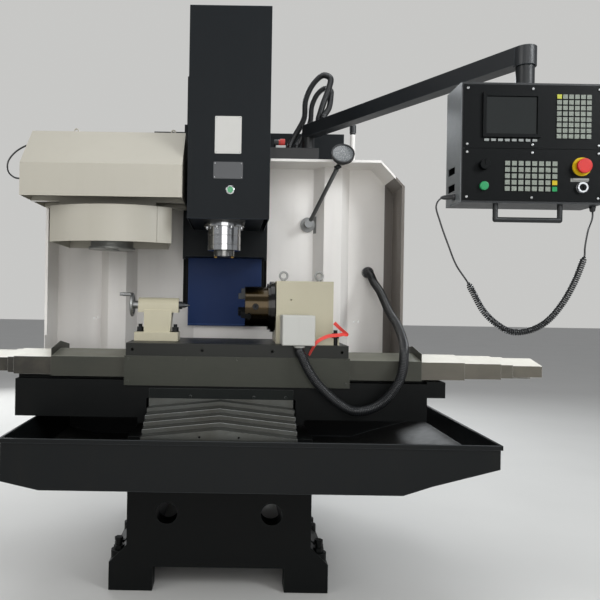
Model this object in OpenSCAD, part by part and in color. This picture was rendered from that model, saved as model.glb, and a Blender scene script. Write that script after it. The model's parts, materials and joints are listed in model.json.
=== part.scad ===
// CNC vertical machining center, bed height table, umbrella tool magazine, swing pendant.
// Frame: X right, Y to the back, Z up, origin on the floor under the spindle axis. Sizes in mm.

/* [Base] */
// Half width of the base casting
base_half = 360; // [350:1:365]
// Width of the ledge over each foot
ledge_w = 68; // [64:1:76]
// Inner edge of the feet from the centre
foot_in = 257; // [240:1:270]
// Height of the recess between the feet
recess_h = 93; // [80:1:105]
// Height of the foot ledge at its outer edge
ledge_z = 109; // [100:1:120]
// Height where the ledge meets the base side
flare_z = 176; // [165:1:190]
// Front face of the base, measured forward of the spindle axis
base_front = 232; // [225:1:240]
// Rear face of the base, measured back from the spindle axis
base_back = 1010; // [980:1:1040]
// Height of the base bed
bed_z = 600; // [590:1:605]
// Radius of the core holes in the base front
core_r = 42; // [35:1:50]
// Distance of the core holes from the centre
core_x = 205; // [190:1:220]
// Height of the core holes
core_z = 303; // [280:1:320]
// Distance of the foundation bolts before and behind the spindle axis
anchor_y = 120; // [110:1:125]
// Radius of the foundation bolt holes
anchor_r = 14; // [11:1:15]
// Radius of the levelling screws
jack_r = 12; // [10:1:13]

/* [Tray] */
// Front wall of the chip tray, measured forward
tray_front = 557; // [550:1:570]
// Height of the tray rim
tray_rim = 657; // [652:1:662]
// Height of the tray floor
tray_floor = 480; // [470:1:488]
// Left end of the tray
tray_left = 745; // [740:1:760]
// Right end of the tray
tray_right = 960; // [940:1:980]
// Rear edge of the tray
tray_back = 400; // [380:1:420]
// Sheet thickness of the tray
tray_t = 4; // [3:1:6]
// Width of the tray's rolled rim
rim_w = 6; // [5:1:10]

/* [Saddle] */
// Half length of the saddle
saddle_half = 815; // [810:1:820]
// Underside of the saddle on the Y ways
way_z = 646; // [644:1:648]
// Top of the saddle casting
saddle_top = 815; // [812:1:816]
// Front face of the saddle, measured forward
saddle_front = 195; // [190:1:196]
// Rear face of the saddle
saddle_back = 200; // [190:1:205]
// Underside of the saddle's side wings
wing_z = 668; // [664:1:690]
// Height of the X ways
xway_z = 850; // [848:1:852]

/* [Table] */
// Height of the table top
table_z = 963; // [960:1:966]
// Length of the table
table_len = 880; // [870:1:890]
// Depth of the table
table_dep = 400; // [396:1:404]
// Thickness of the table slab
table_t = 70; // [66:1:72]
// Offset of the table's centre from the spindle axis
table_x = 61; // [56:1:64]
// Width of the T-slots
slot_w = 18; // [14:1:18]
// Distance between the T-slots
slot_p = 80; // [76:1:84]
// Reach of the apron plate past the table's ends
apron_over = 5; // [4:1:12]
// Thickness of the apron plate
apron_t = 4; // [3:1:5]

/* [X covers] */
// Front wall of the X covers, measured forward
xc_front = 185; // [182:1:186]
// Rear wall of the X covers
xc_back = 100; // [95:1:104]
// Height of the eaves of the inner X covers
xc_eave = 905; // [900:1:906]
// Rise of the ridge over the eaves
xc_rise = 22; // [18:1:24]
// Lower edge of the inner X covers
xc_low = 827; // [825:1:830]
// Sheet thickness of the covers
sheet = 1.5; // [1.2:0.1:1.8]
// Sideways step from one cover to the next
xc_step = 7.5; // [7:0.1:8]
// Drop from one cover to the next
xc_drop = 3.5; // [3.4:0.1:3.8]
// Height of the flanges on the inner covers
flange_h = 30; // [22:1:34]

/* [Y covers] */
// Half width of the gable plates
yc_half = 285; // [280:1:290]
// Drop from the ridge to the edge of a gable plate
yc_fall = 30; // [26:1:32]
// Ridge height of the first gable plate
yc_top = 745; // [742:1:747]
// Drop from one gable plate to the next
yc_drop = 14; // [12:1:15]

/* [Column] */
// Half width of the column
col_half = 250; // [245:1:255]
// Half width of the column over the guard
neck_half = 200; // [198:1:205]
// Front face of the column
col_front = 475; // [472:1:480]
// Rear face of the column
col_back = 900; // [880:1:920]
// Top of the column
col_top = 2250; // [2200:1:2280]
// Height of the Z ways over the column's face
zway_h = 30; // [28:1:31]

/* [Guard] */
// Half width of the splash guard
guard_half = 822; // [815:1:830]
// Top of the splash guard
guard_top = 1790; // [1780:1:1796]
// Panel plane of the guard
guard_y = 430; // [428:1:432]
// Front edge of the guard's flanges
guard_front = 215; // [213:1:225]
// Lower edge of the guard
guard_low = 640; // [620:1:660]
// Sheet thickness of the guard
guard_t = 3; // [2:1:4]
// Size of the guard's cut corner, across
corner_w = 111; // [100:1:120]
// Size of the guard's cut corner, down
corner_h = 118; // [105:1:125]
// Inner side of the guard ribs
rib_in = 475; // [472:1:480]
// Outer side of the guard ribs
rib_out = 560; // [555:1:566]
// Depth of the guard ribs
rib_d = 60; // [50:1:65]
// Slant of the rib's sides
rib_slant = 46; // [30:1:48]

/* [Head] */
// Half width of the head slide
slide_half = 198; // [194:1:200]
// Underside of the head slide
slide_low = 1340; // [1336:1:1344]
// Top of the head slide
slide_top = 1960; // [1940:1:1980]
// Front face of the head slide
slide_front = 290; // [287:1:294]
// Underside of the head over the spindle
head_low = 1465; // [1462:1:1468]
// Left side of the head cover
cover_l = 150; // [148:1:152]
// Right side of the head cover
cover_r = 182; // [178:1:185]
// Front face of the head cover, measured forward
cover_front = 150; // [148:1:154]
// Top of the head cover
cover_top = 2325; // [2310:1:2340]
// Sheet thickness of the head cover
cover_t = 2.5; // [2:0.5:3]
// Face of the spindle nose
nose_z = 1322; // [1318:1:1324]
// Radius of the spindle nose
nose_r = 44.44; // [44:0.01:44.5]
// Radius of the spindle cartridge
cart_r = 70; // [68:1:72]
// Radius of the cartridge flange
flange_r = 87.5; // [85:0.5:90]
// Lower end of the spindle cartridge
cart_z = 1347; // [1345:1:1350]
// Large radius of the tool taper
taper_r = 22.2; // [22:0.1:22.3]

/* [Magazine] */
// Left end of the magazine housing
mag_left = 820; // [815:1:830]
// Right end of the magazine housing
mag_right = 170; // [168:1:175]
// Underside of the magazine housing
mag_low = 1545; // [1543:1:1550]
// Height of the housing's upright front
mag_front_h = 132; // [125:1:140]
// Top of the magazine housing
mag_top = 1843; // [1835:1:1850]
// Rear face of the magazine housing
mag_back = 212; // [206:1:213]
// Radius of the tool drum
drum_r = 192; // [188:1:193]
// Tools on the drum
tools = 16; // [12:1:18]

/* [Attachments] */
// Height of the chuck and tailstock axis over the table
centre_h = 149; // [145:1:152]
// Radius of the chuck
chuck_r = 85; // [80:1:88]
// Face of the chuck
chuck_x = 92; // [88:1:96]
// Length of the chuck body
chuck_len = 96; // [90:1:98]
// Width of the rotary table housing
rot_w = 233; // [225:1:240]
// Radius of the tailstock quill
quill_r = 16; // [13:0.5:18]
// Radius of the tailstock handwheel
wheel_r = 51; // [46:1:56]

/* [Pendant] */
// Left side of the pendant box
pen_x = 774; // [770:1:780]
// Width of the pendant box
pen_w = 468; // [462:1:474]
// Underside of the pendant box
pen_z = 1468; // [1464:1:1472]
// Height of the pendant box
pen_h = 392; // [388:1:396]
// Front face of the pendant box, measured forward
pen_front = 650; // [646:1:655]
// Depth of the pendant box
pen_d = 140; // [130:1:150]
// Distance of the arm's far pivot to the right
arm_x = 1009; // [1005:1:1013]
// Distance of the arm's far pivot to the front
arm_y = 585; // [580:1:590]
// Height of the arm over the pendant box
hub_h = 83; // [80:1:86]
// Size of the arm's square tube
arm_s = 60; // [56:1:64]

/* [Cabinet] */
// Left side of the cabinet
cab_l = 420; // [410:1:430]
// Right side of the cabinet
cab_r = 660; // [650:1:670]
// Underside of the cabinet
cab_low = 620; // [610:1:640]
// Top of the cabinet
cab_top = 2090; // [2080:1:2110]

/* [Hidden] */
$fn = 48;
run = 0.2;                       // running gap of flat ways
gap = 0.3;                       // clearance of round fits
foot_half = base_half + ledge_w;
apron_len = table_len + 2 * apron_over;
anchor_x = base_half + ledge_w / 2;
arm_z = pen_z + pen_h + hub_h;
zway_y = col_front - zway_h;
table_l = table_x - table_len / 2;
table_r = table_x + table_len / 2;
slab_z = table_z - table_t;
axis_z = table_z + centre_h;
post = [400, 440];
cast = [0.10, 0.11, 0.11];
steel = [0.62, 0.63, 0.64];
white = [0.86, 0.85, 0.82];
cream = [0.80, 0.79, 0.69];
black = [0.06, 0.06, 0.07];
grey = [0.42, 0.43, 0.42];
navy = [0.12, 0.15, 0.19];

// a box from one corner to the other
module span(a, b) translate(a) cube(b - a);

// a round bar along X, Y or Z
module bar_x(p, r, l) translate(p) rotate([0, 90, 0]) cylinder(r = r, h = l);
module bar_y(p, r, l) translate(p) rotate([-90, 0, 0]) cylinder(r = r, h = l);

// a profile drawn in X and Z, pulled from y0 to y1
module pull_y(y0, y1) translate([0, y1, 0]) rotate([90, 0, 0]) linear_extrude(y1 - y0)
  children();

// a profile drawn in Y and Z, pulled from x0 to x1
module pull_x(x0, x1) translate([x0, 0, 0]) rotate([90, 0, 90]) linear_extrude(x1 - x0)
  children();

module both() {
  children();
  mirror([1, 0, 0]) children();
}

module hex_bolt(r, h, shank) {
  cylinder(r = r * 1.75, h = h, $fn = 6);
  translate([0, 0, -shank]) cylinder(r = r, h = shank);
}

module base_outline() polygon([
  [-foot_half, 0], [-foot_in, 0], [-foot_in, recess_h], [foot_in, recess_h],
  [foot_in, 0], [foot_half, 0], [foot_half, ledge_z], [base_half, flare_z],
  [base_half, bed_z], [-base_half, bed_z], [-base_half, flare_z], [-foot_half, ledge_z]]);

jack_ys = [-200, 200, 700, 960];

module machine_base() color(cast) difference() {
  union() {
    pull_y(-base_front, base_back) base_outline();
    both() span([190, -base_front, bed_z - 1], [270, guard_y - 5, way_z]);
    both() for (y = jack_ys) translate([anchor_x, y, 0]) cylinder(r = 30, h = 150);
    both() for (y = [-anchor_y, anchor_y]) translate([anchor_x, y, 0])
      cylinder(r = 30, h = 150);
    // brackets that carry the fixed gable plate
    both() span([230, -base_front - 290, bed_z - 60], [262, -base_front + 1, bed_z]);
  }
  both() bar_y([core_x, -base_front - 1, core_z], core_r, 160);
  both() for (y = [-anchor_y, anchor_y]) translate([anchor_x, y, -1])
    cylinder(r = anchor_r, h = 160);
  both() for (y = jack_ys) translate([anchor_x, y, -1]) cylinder(r = jack_r + gap, h = 160);
  // flat seats of the nuts
  both() for (y = concat(jack_ys, [-anchor_y, anchor_y])) translate([anchor_x, y, 150])
    cylinder(r = 24, h = 60);
  // screw channel between the ways
  span([-70, -base_front - 1, bed_z - 80], [70, 440, bed_z + 1]);
  // cored hollow from below
  span([-300, -150, -1], [300, base_back - 80, 420]);
  // side windows behind
  for (y = [520, 760]) span([-base_half - 1, y, 240], [base_half + 1, y + 160, 400]);
}

module levelling_screws() color(steel) both() for (y = jack_ys)
  translate([anchor_x, y, 0]) {
    cylinder(r = jack_r, h = 196);
    translate([0, 0, 150]) cylinder(r = 20, h = 16, $fn = 6);
    translate([0, 0, 184]) cylinder(r = 17, h = 14, $fn = 6);
  }

module tray_outline(o) polygon([
  [-tray_left + o, tray_rim + 1], [-tray_left + o, 509 + o],
  [-612 + o, tray_floor + o], [630, tray_floor + o], [730, 513 + o],
  [tray_right - o, 574 + o], [tray_right - o, tray_rim + 1]]);

module chip_tray() color(cast) {
  difference() {
    intersection() {
      pull_y(-tray_front, tray_back) tray_outline(0);
      span([-tray_left, -tray_front, 0], [tray_right, tray_back, tray_rim]);
    }
    pull_y(-tray_front + tray_t, tray_back - tray_t) tray_outline(tray_t);
    span([-base_half - gap, -base_front - gap, 0], [base_half + gap, tray_back + 1, tray_rim + 1]);
    both() span([229, -base_front - 291, tray_floor + 30], [263, -base_front, bed_z]);
  }
  // rolled rim
  difference() {
    span([-tray_left - rim_w, -tray_front - rim_w, tray_rim - 3],
      [tray_right + rim_w, tray_back, tray_rim]);
    span([-tray_left, -tray_front, 0], [tray_right, tray_back - tray_t, tray_rim + 1]);
  }
  difference() {
    span([-tray_left - rim_w, -tray_front - rim_w, tray_rim - 16],
      [tray_right + rim_w, tray_back, tray_rim - 3]);
    span([-tray_left - rim_w + 3, -tray_front - rim_w + 3, 0],
      [tray_right + rim_w - 3, tray_back + 1, tray_rim + 1]);
  }
}

screw_y = bed_z - 25;            // height of the Y screw
module y_ball_screw() color(steel) {
  bar_y([0, -base_front - 60, screw_y], 16, base_front + 480);
  bar_y([0, -base_front - 50, screw_y], 24, 20);
  bar_y([0, 380, screw_y], 24, 20);
}

// servo motor along Y: square flange, body with cut corners, round encoder cap, plug
module motor_y(s, l) {
  c = s * 0.1;
  h = s / 2;
  pull_y(-8, 0) square(s, center = true);
  pull_y(-l, -7) polygon([[-h + c, -h], [h - c, -h], [h, -h + c], [h, h - c], [h - c, h],
    [-h + c, h], [-h, h - c], [-h, -h + c]]);
  bar_y([0, -l - 26, 0], s * 0.36, 27);
  span([-18, -l * 0.8, -h - 18], [18, -l * 0.5, -h + 1]);
}

module axis_motors() color(black) {
  // Y motor in front of the base, under the gable plates
  difference() {
    union() {
      translate([0, -base_front - 70, screw_y]) motor_y(120, 150);
      span([-90, -base_front - 71, screw_y - 75], [90, -base_front, screw_y + 20]);
    }
    bar_y([0, -base_front - 76, screw_y], 16 + gap, 90);
    span([-40, -base_front - 66, screw_y - 40], [40, -base_front - 10, screw_y + 30]);
  }
  // Z motor on the column
  translate([0, zscrew_y, col_top]) difference() {
    union() {
      span([-75, -38, 0], [75, 75, 70]);
      span([-65, -36, 69], [65, 65, 270]);
      translate([0, 15, 269]) cylinder(r = 45, h = 24);
    }
    translate([0, 0, -1]) cylinder(r = 16 + gap, h = 60);
    span([-45, -39, 15], [45, 45, 55]);
  }
}

zscrew_y = col_front + 40;
module column() color(cast) difference() {
  union() {
    pull_y(col_front, col_back) polygon([[-col_half, bed_z], [col_half, bed_z],
      [col_half, guard_top - 60], [neck_half, guard_top - 20], [neck_half, col_top],
      [-neck_half, col_top], [-neck_half, guard_top - 20], [-col_half, guard_top - 60]]);
    both() span([120, zway_y, 1120], [190, col_front + 1, 2230]);
    both() span([col_half - 1, col_front, bed_z], [base_half - 20, col_back, bed_z + 40]);
  }
  // screw channel
  span([-60, col_front - 1, 1120], [60, col_front + 90, col_top + 1]);
  // cored hollow, open at the back
  span([-150, col_front + 140, bed_z + 60], [150, col_back + 1, col_top - 200]);
  both() for (z = [900, 1400]) bar_x([col_half - 110, 690, z], 70, 120);
}

module z_ball_screw() color(steel) {
  translate([0, zscrew_y, 1130]) cylinder(r = 16, h = col_top - 1130 + 40);
  translate([0, zscrew_y, 1130]) cylinder(r = 24, h = 20);
}

module guard_outline(o, low) polygon([
  [-guard_half + o, low], [guard_half - o, low], [guard_half - o, guard_top - corner_h],
  [guard_half - corner_w, guard_top - o], [-guard_half + corner_w, guard_top - o],
  [-guard_half + o, guard_top - corner_h]]);

// plan of a rib: flat front and slanting sides
module rib_plan(o, back) polygon([
  [rib_in - rib_slant + o * 1.3, back], [rib_in + o, guard_y - rib_d + o],
  [rib_out - o, guard_y - rib_d + o], [rib_out + rib_slant - o * 1.3, back]]);

module splash_guard() color(white) {
  difference() {
    union() {
      pull_y(guard_y, guard_y + guard_t) guard_outline(0, guard_low);
      difference() {
        pull_y(guard_front, guard_y + guard_t) guard_outline(0, tray_rim + 6);
        pull_y(guard_front - 1, guard_y + guard_t + 1) guard_outline(guard_t, 0);
      }
      // folded lips on the flanges
      difference() {
        pull_y(guard_front, guard_front + guard_t) guard_outline(0, table_z);
        pull_y(guard_front - 1, guard_front + guard_t + 1) guard_outline(12, 0);
      }
      // blocks that carry the guard on the column
      both() for (z = [700, 1200, 1520]) span([212, guard_y + guard_t - 1, z],
        [240, col_front, z + 36]);
      both() difference() {
        translate([0, 0, tray_rim + 6]) linear_extrude(guard_top - tray_rim - 6)
          rib_plan(0, guard_y + 1);
        linear_extrude(guard_top - guard_t) rib_plan(guard_t, guard_y + guard_t + 1);
      }
    }
    // opening for the head slide and the column
    span([-slide_half - 7, guard_y - 1, 1115], [slide_half + 7, guard_y + 9, guard_top + 1]);
    span([-slide_half - 7, 0, guard_top - 20], [slide_half + 7, 480, guard_top + 1]);
    // opening for the magazine bracket
    span([-425, guard_y - 1, 1585], [-slide_half, guard_y + 9, 1705]);
    // small fixing holes
    for (x = [-640, -622, 640, 660]) bar_y([x, guard_y - 1, 1040], 4, 9);
  }
  // lamp base
  bar_y([lamp[0], guard_y - 14, lamp[2]], 36, 14.5);
  bar_y([lamp[0], guard_y - 60, lamp[2]], 15, 50);
  // conduit gland
  bar_y([699, guard_y - 26, 1283], 27, 26.5);
  // air filter behind the guard: bowl, head and bracket
  translate([623, guard_y + guard_t + 24, 1700]) cylinder(r = 13, h = 275);
  translate([623, guard_y + guard_t + 24, 1974]) cylinder(r = 16, h = 38);
  span([611, guard_y + guard_t, 1715], [635, guard_y + guard_t + 26, 1755]);
}

// gable plate: ridge height, lip position and rear end, measured forward
module gable(top, lip, back, n = 0) {
  half = yc_half - 3.5 * n;
  fall = yc_fall * half / yc_half;
  pull_y(-lip, -back) polygon([[-half, top - fall], [0, top], [half, top - fall],
    [half, top - fall - sheet], [0, top - sheet], [-half, top - fall - sheet]]);
  // lip that wipes the next plate
  pull_y(-lip, -lip + 5) polygon([[-half, top - fall], [0, top], [half, top - fall],
    [half, top - fall - yc_drop + gap], [0, top - yc_drop + gap],
    [-half, top - fall - yc_drop + gap]]);
  both() span([half - sheet, -lip, top - fall - 9], [half, -back, top - fall]);
}

yc_lips = [260, 336, 402, 466];
module y_cover_1() color(steel) {
  gable(yc_top, yc_lips[0], saddle_front);
  // upright strip bolted to the saddle
  pull_y(-saddle_front - 2, -saddle_front) polygon([[-yc_half, yc_top - yc_fall - sheet],
    [0, yc_top - sheet], [yc_half, yc_top - yc_fall - sheet], [yc_half, yc_top + 40],
    [-yc_half, yc_top + 40]]);
  for (x = [-121, 129, 256]) bar_y([x, -saddle_front - 6, yc_top + 10], 5, 5);
}
module y_cover_2() color(steel) gable(yc_top - yc_drop, yc_lips[1], 215, 1);
module y_cover_3() color(steel) gable(yc_top - 2 * yc_drop, yc_lips[2], 235, 2);
module y_cover_4() color(steel) gable(yc_top - 3 * yc_drop, yc_lips[3], 300, 3);
yc5 = yc_top - 4 * yc_drop;
yc5_half = yc_half - 14;
yc5_fall = yc_fall * yc5_half / yc_half;
module y_cover_fixed() color(steel) difference() {
  union() {
    pull_y(-525, -290) polygon([[-yc5_half, yc5 - yc5_fall], [0, yc5],
      [yc5_half, yc5 - yc5_fall], [yc5_half, yc5 - yc5_fall - sheet], [0, yc5 - sheet],
      [-yc5_half, yc5 - yc5_fall - sheet]]);
    both() span([yc5_half - sheet, -525, yc5 - yc5_fall - 18], [yc5_half, -290, yc5 - yc5_fall]);
    pull_y(-527, -525) polygon([[-yc5_half, yc5 - yc5_fall], [0, yc5], [yc5_half, yc5 - yc5_fall],
      [yc5_half, yc5 - yc5_fall - 34], [-yc5_half, yc5 - yc5_fall - 34]]);
    // legs down to the brackets on the base
    both() for (y = [-500, -302]) span([232, y, bed_z], [260, y + 12, yc5 - yc5_fall + 1]);
  }
  // screw holes in the front face
  both() bar_y([68, -530, yc5 - 26], 4, 8);
}

module electrical_cabinet() color(navy) difference() {
  union() {
    span([-cab_l, col_back + 30, cab_low], [cab_r, col_back + 380, cab_top]);
    // mounting blocks on the column
    both() for (z = [700, 1900]) span([155, col_back, z], [195, col_back + 31, z + 80]);
  }
  difference() {
    span([-cab_l + 3, col_back + 33, cab_low + 3], [cab_r - 3, col_back + 381, cab_top - 3]);
    // mounting plate with its drives, transformer and terminal rows
    span([-cab_l + 40, col_back + 32, cab_low + 30], [cab_r - 40, col_back + 45, cab_top - 40]);
    for (i = [0:3]) span([-340 + i * 180, col_back + 44, 1500], [-200 + i * 180, col_back + 240, 1860]);
    span([380, col_back + 44, 670], [580, col_back + 220, 870]);
    for (z = [1000, 1250]) span([-340, col_back + 44, z], [560, col_back + 110, z + 70]);
  }
}

module cabinet_door() color(navy) {
  difference() {
    span([-cab_l, col_back + 380 + gap, cab_low], [cab_r, col_back + 400, cab_top]);
    span([-cab_l + 5, col_back + 379, cab_low + 5], [cab_r - 5, col_back + 398, cab_top - 5]);
  }
  for (z = [760, 1325, 1890]) {
    translate([-cab_l - 8, col_back + 390, z]) cylinder(r = 7.7, h = 80);
    span([-cab_l - 8, col_back + 386, z], [-cab_l + 10, col_back + 394, z + 80]);
  }
  bar_y([600, col_back + 399, 1325], 22, 8);
  span([592, col_back + 405, 1265], [608, col_back + 417, 1345]);
}

mag_slope = mag_top - mag_low - mag_front_h;
module mag_outline(o) polygon([
  [-170 + o, mag_low - (o > 0 ? 1 : 0)], [-170 + o, mag_low + mag_front_h - o * 0.4],
  [-170 + mag_slope - 6 + o * 0.4, mag_top - o], [mag_back - o, mag_top - o],
  [mag_back - o, mag_low - (o > 0 ? 1 : 0)]]);

module magazine_housing() color(white) {
  difference() {
    pull_x(-mag_left, -mag_right) mag_outline(0);
    pull_x(-mag_left + 3, -mag_right - 3) mag_outline(3);
  }
  // rails that the carriage hangs on
  difference() {
    union() {
      span([-mag_left + 1, -20, mag_low], [-mag_right - 1, 10, mag_low + 20]);
      span([-mag_left + 1, 170, mag_low], [-mag_right - 1, 200, mag_low + 20]);
    }
  }
  // bracket on the column
  span([-420, mag_back - 2, 1590], [-slide_half - 17, col_front, 1700]);
  span([-420, col_front - 1, 1590], [-col_half, 640, 1700]);
  // lifting eyes on the top front edge
  for (x = [-640, -225]) translate([x, 20, mag_top + 10]) rotate([90, 0, 0])
    rotate_extrude() translate([8, 0]) circle(r = 3);
  for (x = [-640, -225]) translate([x, 20, mag_top - 1]) cylinder(r = 5, h = 4);
}

drum_x = -490;
drum_y = 70;
cover_z0 = 1369;
cover_z1 = 1518;
// plan of the drum cover: flat sides, bowed front
module drum_plan(o) intersection() {
  polygon([[-725 + o, -152], [-219 - o, -152], [-219 - o, -60], [-262 - o, 268 - o],
    [-725 + o, 268 - o]]);
  translate([-472, 266]) circle(r = 416 - o, $fn = 96);
}

module drum_carriage() color(white) {
  difference() {
    translate([0, 0, cover_z0]) linear_extrude(cover_z1 - cover_z0) drum_plan(0);
    translate([0, 0, cover_z0 - 1]) linear_extrude(cover_z1 - cover_z0 - 3) drum_plan(3);
    // joint between the cover and its right panel
    translate([-277, -160, cover_z0 - 1]) cube([3, 62, cover_z1 - cover_z0 + 2]);
    // clearance for the drum shaft
    translate([drum_x, drum_y, cover_z1 - 10]) cylinder(r = 30 + gap, h = 20);
  }
  for (y = [-25, 165]) span([-700, y, cover_z1], [-290, y + 40, mag_low - run]);
  // bearing block of the drum
  difference() {
    translate([drum_x, drum_y, cover_z1 - 1]) cylinder(r = 60, h = 24);
    translate([drum_x, drum_y, cover_z1 - 10]) cylinder(r = 30 + gap, h = 40);
  }
}

module tool_drum() color(steel) {
  translate([drum_x, drum_y, 1345]) cylinder(r = 30, h = cover_z1 + 20 - 1345);
  translate([drum_x, drum_y, 1349]) cylinder(r = 100, h = 10);
  translate([drum_x, drum_y, 1358]) cylinder(r = 92, h = 30);
  difference() {
    translate([drum_x, drum_y, 1410]) cylinder(r = drum_r - 34, h = 26);
    for (i = [0:tools - 1]) translate([drum_x, drum_y, 1400]) rotate(i * 360 / tools)
      translate([drum_r - 14, 0, 0]) cylinder(r = 22, h = 50);
  }
  // forked grippers
  for (i = [0:tools - 1]) translate([drum_x, drum_y, 1414]) rotate(i * 360 / tools)
    difference() {
      translate([drum_r - 64, -27, 0]) cube([62, 54, 18]);
      translate([drum_r - 14, 0, -1]) cylinder(r = 20, h = 20);
      translate([drum_r - 14, -20, -1]) cube([40, 40, 20]);
    }
}

module saddle() color(cast) difference() {
  union() {
    span([-330, -saddle_front, way_z + run], [330, saddle_back, saddle_top]);
    span([-saddle_half, -saddle_front, wing_z], [saddle_half, saddle_back, saddle_top]);
    span([saddle_half - 1, -60, 762], [saddle_half + 72, 60, arm_low]);
    span([saddle_half - 1, -saddle_front, 762], [saddle_half + 72, -59, 824]);
    span([-saddle_half - 30, -60, 762], [-saddle_half + 1, 60, arm_low]);
    for (y = [-150, 10]) span([-saddle_half, y, saddle_top - 1], [saddle_half, y + 55, xway_z]);
    // nut bracket for the Y screw
    span([-60, 5, screw_y - 20], [60, 60, way_z + 1]);
  }
  bar_y([0, 4, screw_y], 16 + gap, 57);
  // pocket that the gable plates slide into
  span([-yc_half - 10, -saddle_front - 1, way_z - 1], [yc_half + 10, -62, yc_top]);
  // channel for the X screw and its motor
  span([-700, xscrew_y - 52, 700], [805, xscrew_y + 52, saddle_top + 1]);
  // pockets under the wings
  both() span([420, -saddle_front + 30, wing_z - 1], [760, -75, saddle_top - 40]);
}

arm_low = 829;                   // top of the brackets at the saddle ends
xscrew_y = -42;
xscrew_z = 758;
module x_ball_screw() color(steel) {
  bar_x([-660, xscrew_y, xscrew_z], 15, 1296);
}

module x_servo_motor() color(black) {
  difference() {
    span([640 - gap, xscrew_y - 50, xscrew_z - 57.8], [800, xscrew_y + 50, xscrew_z + 52]);
    bar_x([630, xscrew_y, xscrew_z], 15 + gap, 20);
  }
  // bearing block at the far end of the screw
  difference() {
    span([-690, xscrew_y - 50, 700.2], [-640, xscrew_y + 50, xscrew_z + 40]);
    bar_x([-661, xscrew_y, xscrew_z], 15 + gap, 40);
  }
}

// outline of X cover number n, made smaller by the sheet and the step
module xc_outline(n, t) {
  s = n * xc_step + t;
  z = xc_eave - n * xc_drop - t;
  polygon([[-xc_front + s, 0], [-xc_front + s, z], [-49, z + xc_rise], [xc_back - s, z],
    [xc_back - s, 0]]);
}

// X cover number n from x0 to its outer end x1; the wiper sits at the outer end
module x_cover(n, x0, x1, low) {
  a = min(x0, x1);
  b = max(x0, x1);
  w = x1 > x0 ? [x1 - 6, x1] : [x1, x1 + 6];
  difference() {
    pull_x(a, b) xc_outline(n, 0);
    pull_x(a - 1, b + 1) xc_outline(n, sheet);
    span([a - 1, -xc_front - 1, -1], [b + 1, xc_back + 1, low]);
  }
  difference() {
    pull_x(w[0], w[1]) xc_outline(n, sheet / 2);
    pull_x(w[0] - 1, w[1] + 1) {
      translate([0, gap]) xc_outline(n + 1, 0);
    }
    span([w[0] - 1, -xc_front + n * xc_step + xc_step - gap, 0],
      [w[1] + 1, xc_back - n * xc_step - xc_step + gap, xc_eave - (n + 1) * xc_drop + gap]);
    span([a - 1, -xc_front - 1, -1], [b + 1, xc_back + 1, low]);
  }
}

xr = [for (d = [-20, 154, 302, 352, 473]) saddle_half + d];
xl = [for (d = [-137, 14, 40, 235, 473]) -saddle_half - d];
xc_lift = 4.5;                   // each cover's lower edge over the one outside it
module x_cover_right_1() color(white) x_cover(1, xr[1] - 280, xr[1], xc_low + xc_lift);
module x_cover_right_2() color(white) x_cover(2, xr[2] - 260, xr[2], xc_low + 2 * xc_lift);
module x_cover_right_3() color(white) x_cover(3, xr[3] - 200, xr[3], xc_low + 3 * xc_lift);
module x_cover_left_1() color(white) x_cover(1, xl[1] + 230, xl[1], xc_low + xc_lift);
module x_cover_left_2() color(white) x_cover(2, xl[2] + 230, xl[2], xc_low + 2 * xc_lift);
module x_cover_left_3() color(white) x_cover(3, xl[3] + 290, xl[3], xc_low + 3 * xc_lift);

module x_cover_ends() color(white) {
  low = xc_low + 4 * xc_lift;
  for (e = [[xr[4] - 300, xr[4], 1], [xl[4], xl[4] + 320, -1]]) {
    difference() {
      pull_x(e[0], e[1]) xc_outline(4, 0);
      pull_x(e[2] > 0 ? e[0] - 1 : e[0] + 2, e[2] > 0 ? e[1] - 2 : e[1] + 1)
        xc_outline(4, sheet);
      span([e[0] - 1, -xc_front - 1, -1], [e[1] + 1, xc_back + 1, low]);
    }
    // arms from the saddle that carry the outer cover
    for (y = [-55, 45]) span([e[2] > 0 ? saddle_half + 2 : e[0] + 1, y, arm_low],
      [e[2] > 0 ? e[1] - 1 : -saddle_half - 2, y + 10, arm_low + 16]);
    span([e[2] > 0 ? e[1] - 8 : e[0] + 1, -55, arm_low],
      [e[2] > 0 ? e[1] - 1 : e[0] + 8, 55, low + 20]);
  }
}

module table() color(grey) difference() {
  union() {
    span([table_l, -table_dep / 2, slab_z], [table_r, table_dep / 2, table_z]);
    span([table_l + 20, -150, xway_z + run], [table_r - 20, 65, slab_z + 1]);
    // nut bracket for the X screw
    span([table_x - 50, xscrew_y - 48, xscrew_z - 28], [table_x + 50, xscrew_y + 48, xway_z + 1]);
  }
  bar_x([table_x - 51, xscrew_y, xscrew_z], 15 + gap, 102);
  // T-slots
  for (i = [-2:2]) {
    span([table_l - 1, i * slot_p - slot_w / 2, table_z - 26],
      [table_r + 1, i * slot_p + slot_w / 2, table_z + 1]);
    span([table_l - 1, i * slot_p - slot_w * 0.85, table_z - 38],
      [table_r + 1, i * slot_p + slot_w * 0.85, table_z - 20]);
  }
  // coolant holes in the front edge
  for (x = [-414, -138, 138, 414]) bar_y([table_x + x, -table_dep / 2 - 1, slab_z + 44], 6, 30);
}

module table_apron() color(grey) difference() {
  union() {
    span([table_x - apron_len / 2, -table_dep / 2 - apron_t, 796],
      [table_x + apron_len / 2, -table_dep / 2, slab_z + 20]);
    both_at(table_x) for (x = [apron_len / 2 - 14]) for (z = [812, slab_z + 8])
      bar_y([x, -table_dep / 2 - apron_t - 3, z], 5, 4);
  }
  for (x = [-200, 0, 200]) bar_y([table_x + x, -table_dep / 2 - apron_t - 1, slab_z + 8], 3, 3);
}

module both_at(x) translate([x, 0, 0]) both() children();

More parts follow.
